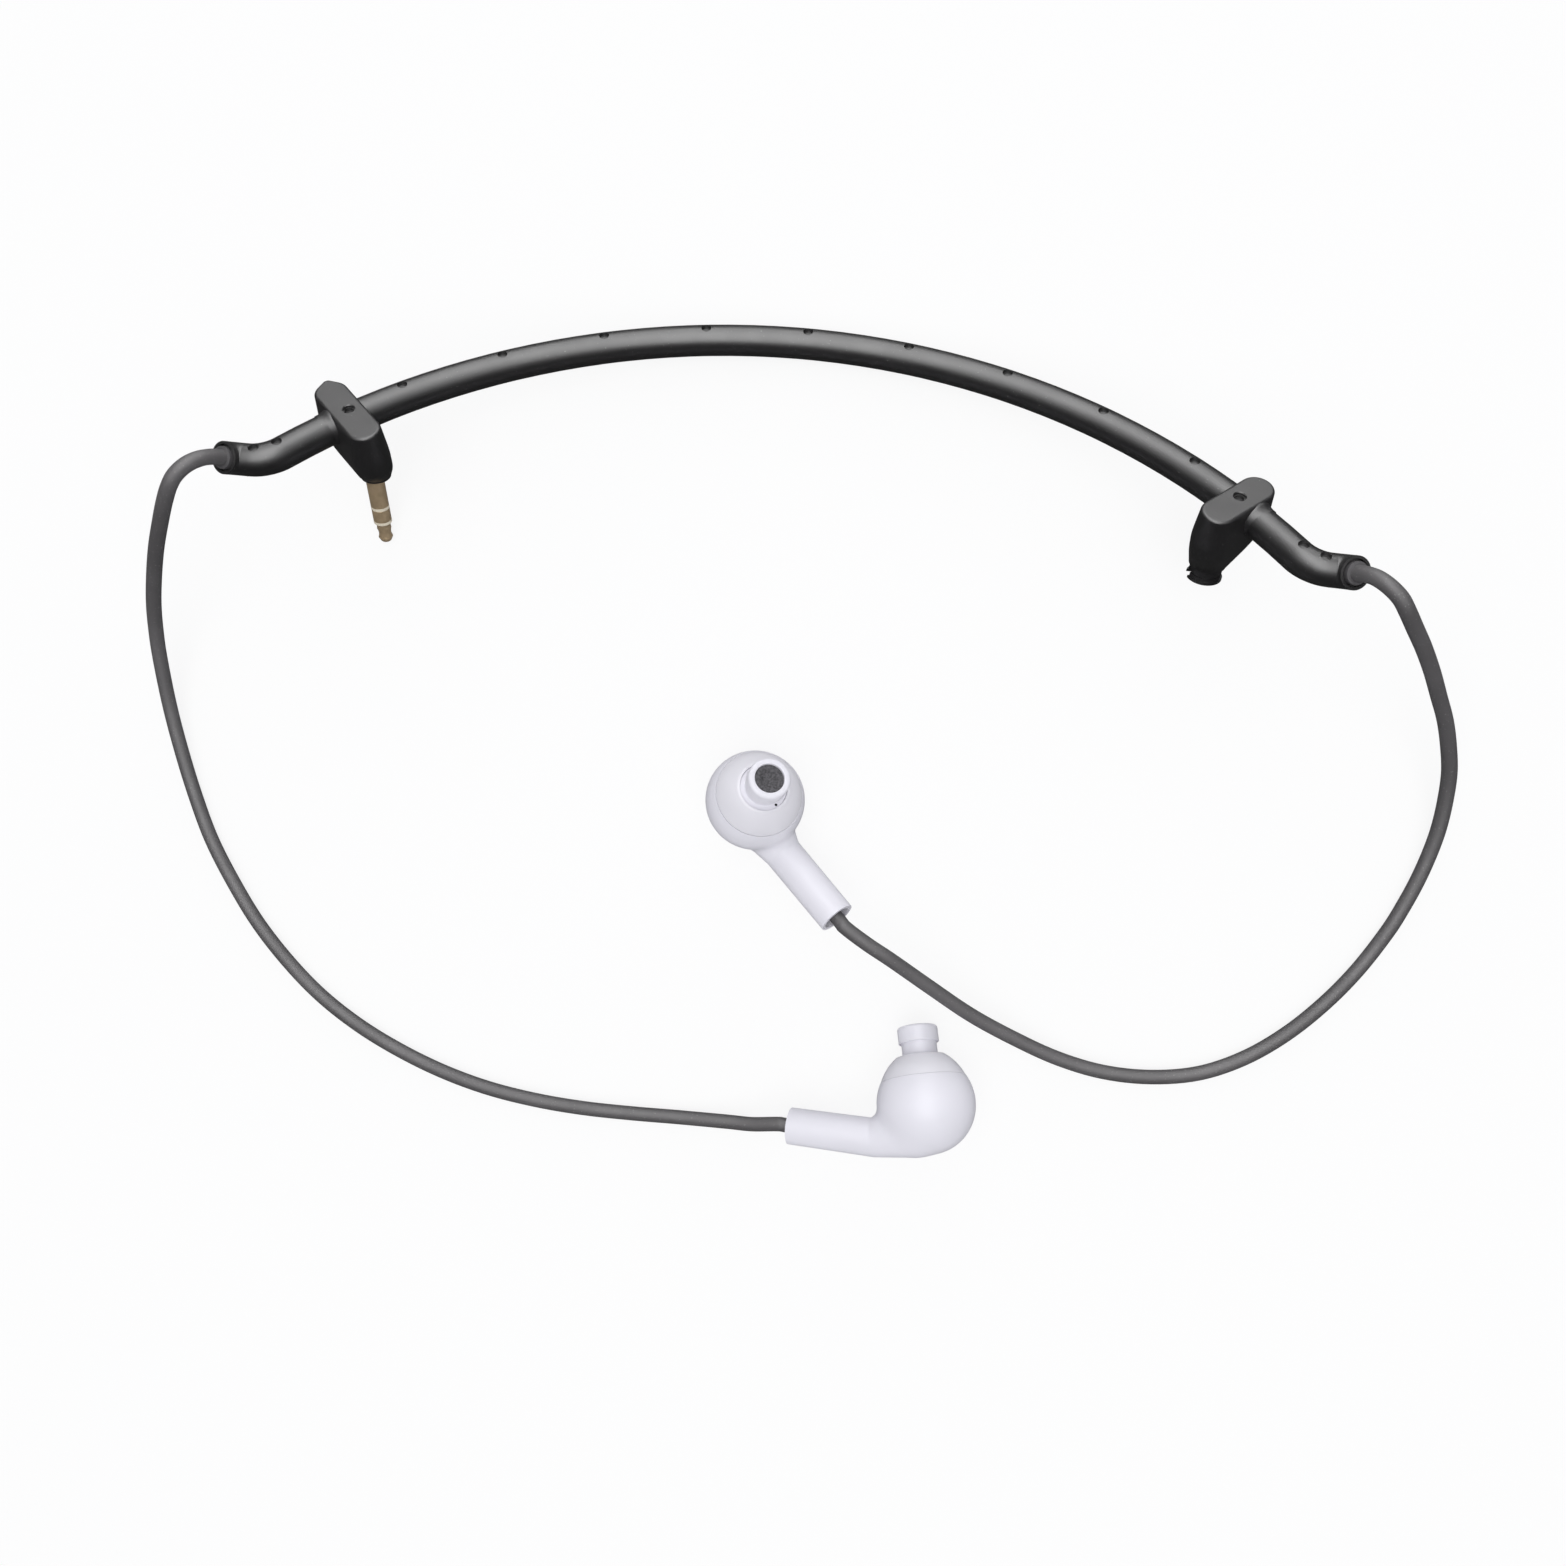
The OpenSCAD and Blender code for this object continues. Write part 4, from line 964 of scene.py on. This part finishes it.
# Name, place, what it points at, size, power in watts and the rays that don't see it
LAMPS = (
    ("Window", (-0.03, 0.275, 0.589), (0, 0, 0), (0.47, 1.3), 1.5, None),
    ("Sill", (-0.03, 0.9, 0.16), (0, 0, 0.02), (1.1, 0.3), 2.3, None),
    ("Fill", (0.05, -0.3, 1.0), (0, 0, 0), (1.2, 1.2), 6.5, "glossy"),
    ("Glow", (-0.03, 0.285, 0.611), (0, 0, 0), (0.49, 1.34), 3.4, "diffuse"),
    ("Sheen", (0, 0.28, 0.96), (0, 0, 0), (2.6, 1.25), 5.5, "diffuse"),
)
LENS = 31.284
CAMERA = (
    (0.98999, -0.11655, 0.07950, 0.02600),
    (0.11185, 0.99183, 0.06129, 0.00757),
    (-0.08599, -0.05178, 0.99495, 0.26919),
    (0, 0, 0, 1),
)


def floor_material():
    """Pale card that looks white, keeps a soft shadow and shows dimly in what shines."""
    finish = Finish("Pale floor", (0.86, 0.86, 0.86), 0.95, specular=0.0)
    path = finish.add("ShaderNodeLightPath")
    through = finish.add("ShaderNodeMath")
    through.operation = "MAXIMUM"
    finish.link(path.outputs["Is Camera Ray"], through.inputs[0])
    finish.link(path.outputs["Is Transmission Ray"], through.inputs[1])
    share = finish.add("ShaderNodeMath")
    share.operation = "MULTIPLY_ADD"
    share.inputs[1].default_value = FLOOR_GLOW
    finish.link(through.outputs[0], share.inputs[0])
    finish.link(path.outputs["Is Glossy Ray"], share.inputs[2])
    strength = finish.add("ShaderNodeMapRange", To_Min=1.0, To_Max=REFLECTED_FLOOR)
    finish.link(path.outputs["Is Glossy Ray"], strength.inputs["Value"])
    glow = finish.add("ShaderNodeEmission", Color=(1, 1, 1, 1))
    finish.link(strength.outputs["Result"], glow.inputs["Strength"])
    mix = finish.add("ShaderNodeMixShader")
    finish.link(share.outputs[0], mix.inputs["Fac"])
    finish.link(finish.shader.outputs["BSDF"], mix.inputs[1])
    finish.link(glow.outputs["Emission"], mix.inputs[2])
    finish.link(mix.outputs["Shader"], finish.tree.nodes["Material Output"].inputs["Surface"])
    return finish.material


def soft_lamp(name, place, target, size, power, unseen_by):
    """A rectangular lamp that one kind of ray can be kept from."""
    data = bpy.data.lights.new(name, "AREA")
    data.shape = "RECTANGLE"
    data.size, data.size_y = size
    data.energy = power
    lamp = bpy.data.objects.new(name, data)
    bpy.context.scene.collection.objects.link(lamp)
    way = Vector(target) - Vector(place)
    turned_to = way.to_track_quat("-Z", "Y").to_matrix().to_4x4()
    lamp.matrix_world = Matrix.Translation(place) @ turned_to
    lamp.visible_diffuse = unseen_by != "diffuse"
    lamp.visible_glossy = unseen_by != "glossy"


class EARPHONES_OT_stage(bpy.types.Operator):
    """Sets the floor, the lamps and the camera"""

    bl_idname = "earphones.stage"
    bl_label = "Stage"

    def execute(self, context):
        scene = context.scene
        bm = bmesh.new()
        bmesh.ops.create_grid(bm, x_segments=1, y_segments=1, size=4)
        mesh = bpy.data.meshes.new("floor")
        bm.to_mesh(mesh)
        bm.free()
        mesh.materials.append(floor_material())
        floor = bpy.data.objects.new("floor", mesh)
        scene.collection.objects.link(floor)

        for lamp in LAMPS:
            soft_lamp(*lamp)
        world = bpy.data.worlds.new("Room")
        scene.world = world
        world.use_nodes = True
        background = world.node_tree.nodes["Background"]
        background.inputs["Color"].default_value = ROOM_COLOUR
        tree = world.node_tree
        path = tree.nodes.new("ShaderNodeLightPath")
        dim = tree.nodes.new("ShaderNodeMapRange")
        dim.inputs["To Min"].default_value = ROOM_GLOW
        dim.inputs["To Max"].default_value = REFLECTED_ROOM
        tree.links.new(path.outputs["Is Glossy Ray"], dim.inputs["Value"])
        tree.links.new(dim.outputs["Result"], background.inputs["Strength"])

        data = bpy.data.cameras.new("Camera")
        data.sensor_width = 36
        data.lens = LENS
        data.clip_start = 0.01
        data.clip_end = 20
        camera = bpy.data.objects.new("Camera", data)
        scene.collection.objects.link(camera)
        camera.matrix_world = Matrix(CAMERA)
        scene.camera = camera
        scene.view_settings.view_transform = "Standard"
        return {"FINISHED"}


class EARPHONES_PT_panel(bpy.types.Panel):
    """Lists the steps and the settings"""

    bl_label = "Earphones"
    bl_idname = "EARPHONES_PT_panel"
    bl_space_type = "VIEW_3D"
    bl_region_type = "UI"
    bl_category = "Earphones"

    def draw(self, context):
        layout = self.layout
        for group in (context.scene.earphone_sizes, context.scene.earphone_colours):
            for key in group.bl_rna.properties.keys():
                if key not in {"rna_type", "name"}:
                    layout.prop(group, key)
        for step in STEPS:
            layout.operator(step.bl_idname)


STEPS = (
    EARPHONES_OT_stage,
    EARPHONES_OT_cords,
    EARPHONES_OT_band,
    EARPHONES_OT_blocks,
    EARPHONES_OT_plug,
    EARPHONES_OT_rear_shells,
    EARPHONES_OT_fronts,
)
CLASSES = (EarphoneSizes, EarphoneColours, *STEPS, EARPHONES_PT_panel)


def register():
    for cls in CLASSES:
        bpy.utils.register_class(cls)
    bpy.types.Scene.earphone_sizes = bpy.props.PointerProperty(type=EarphoneSizes)
    bpy.types.Scene.earphone_colours = bpy.props.PointerProperty(type=EarphoneColours)


def unregister():
    del bpy.types.Scene.earphone_colours
    del bpy.types.Scene.earphone_sizes
    for cls in reversed(CLASSES):
        bpy.utils.unregister_class(cls)


def main():
    register()
    for step in STEPS:
        getattr(bpy.ops.earphones, step.bl_idname.split(".")[1])()


if __name__ == "__main__":
    main()
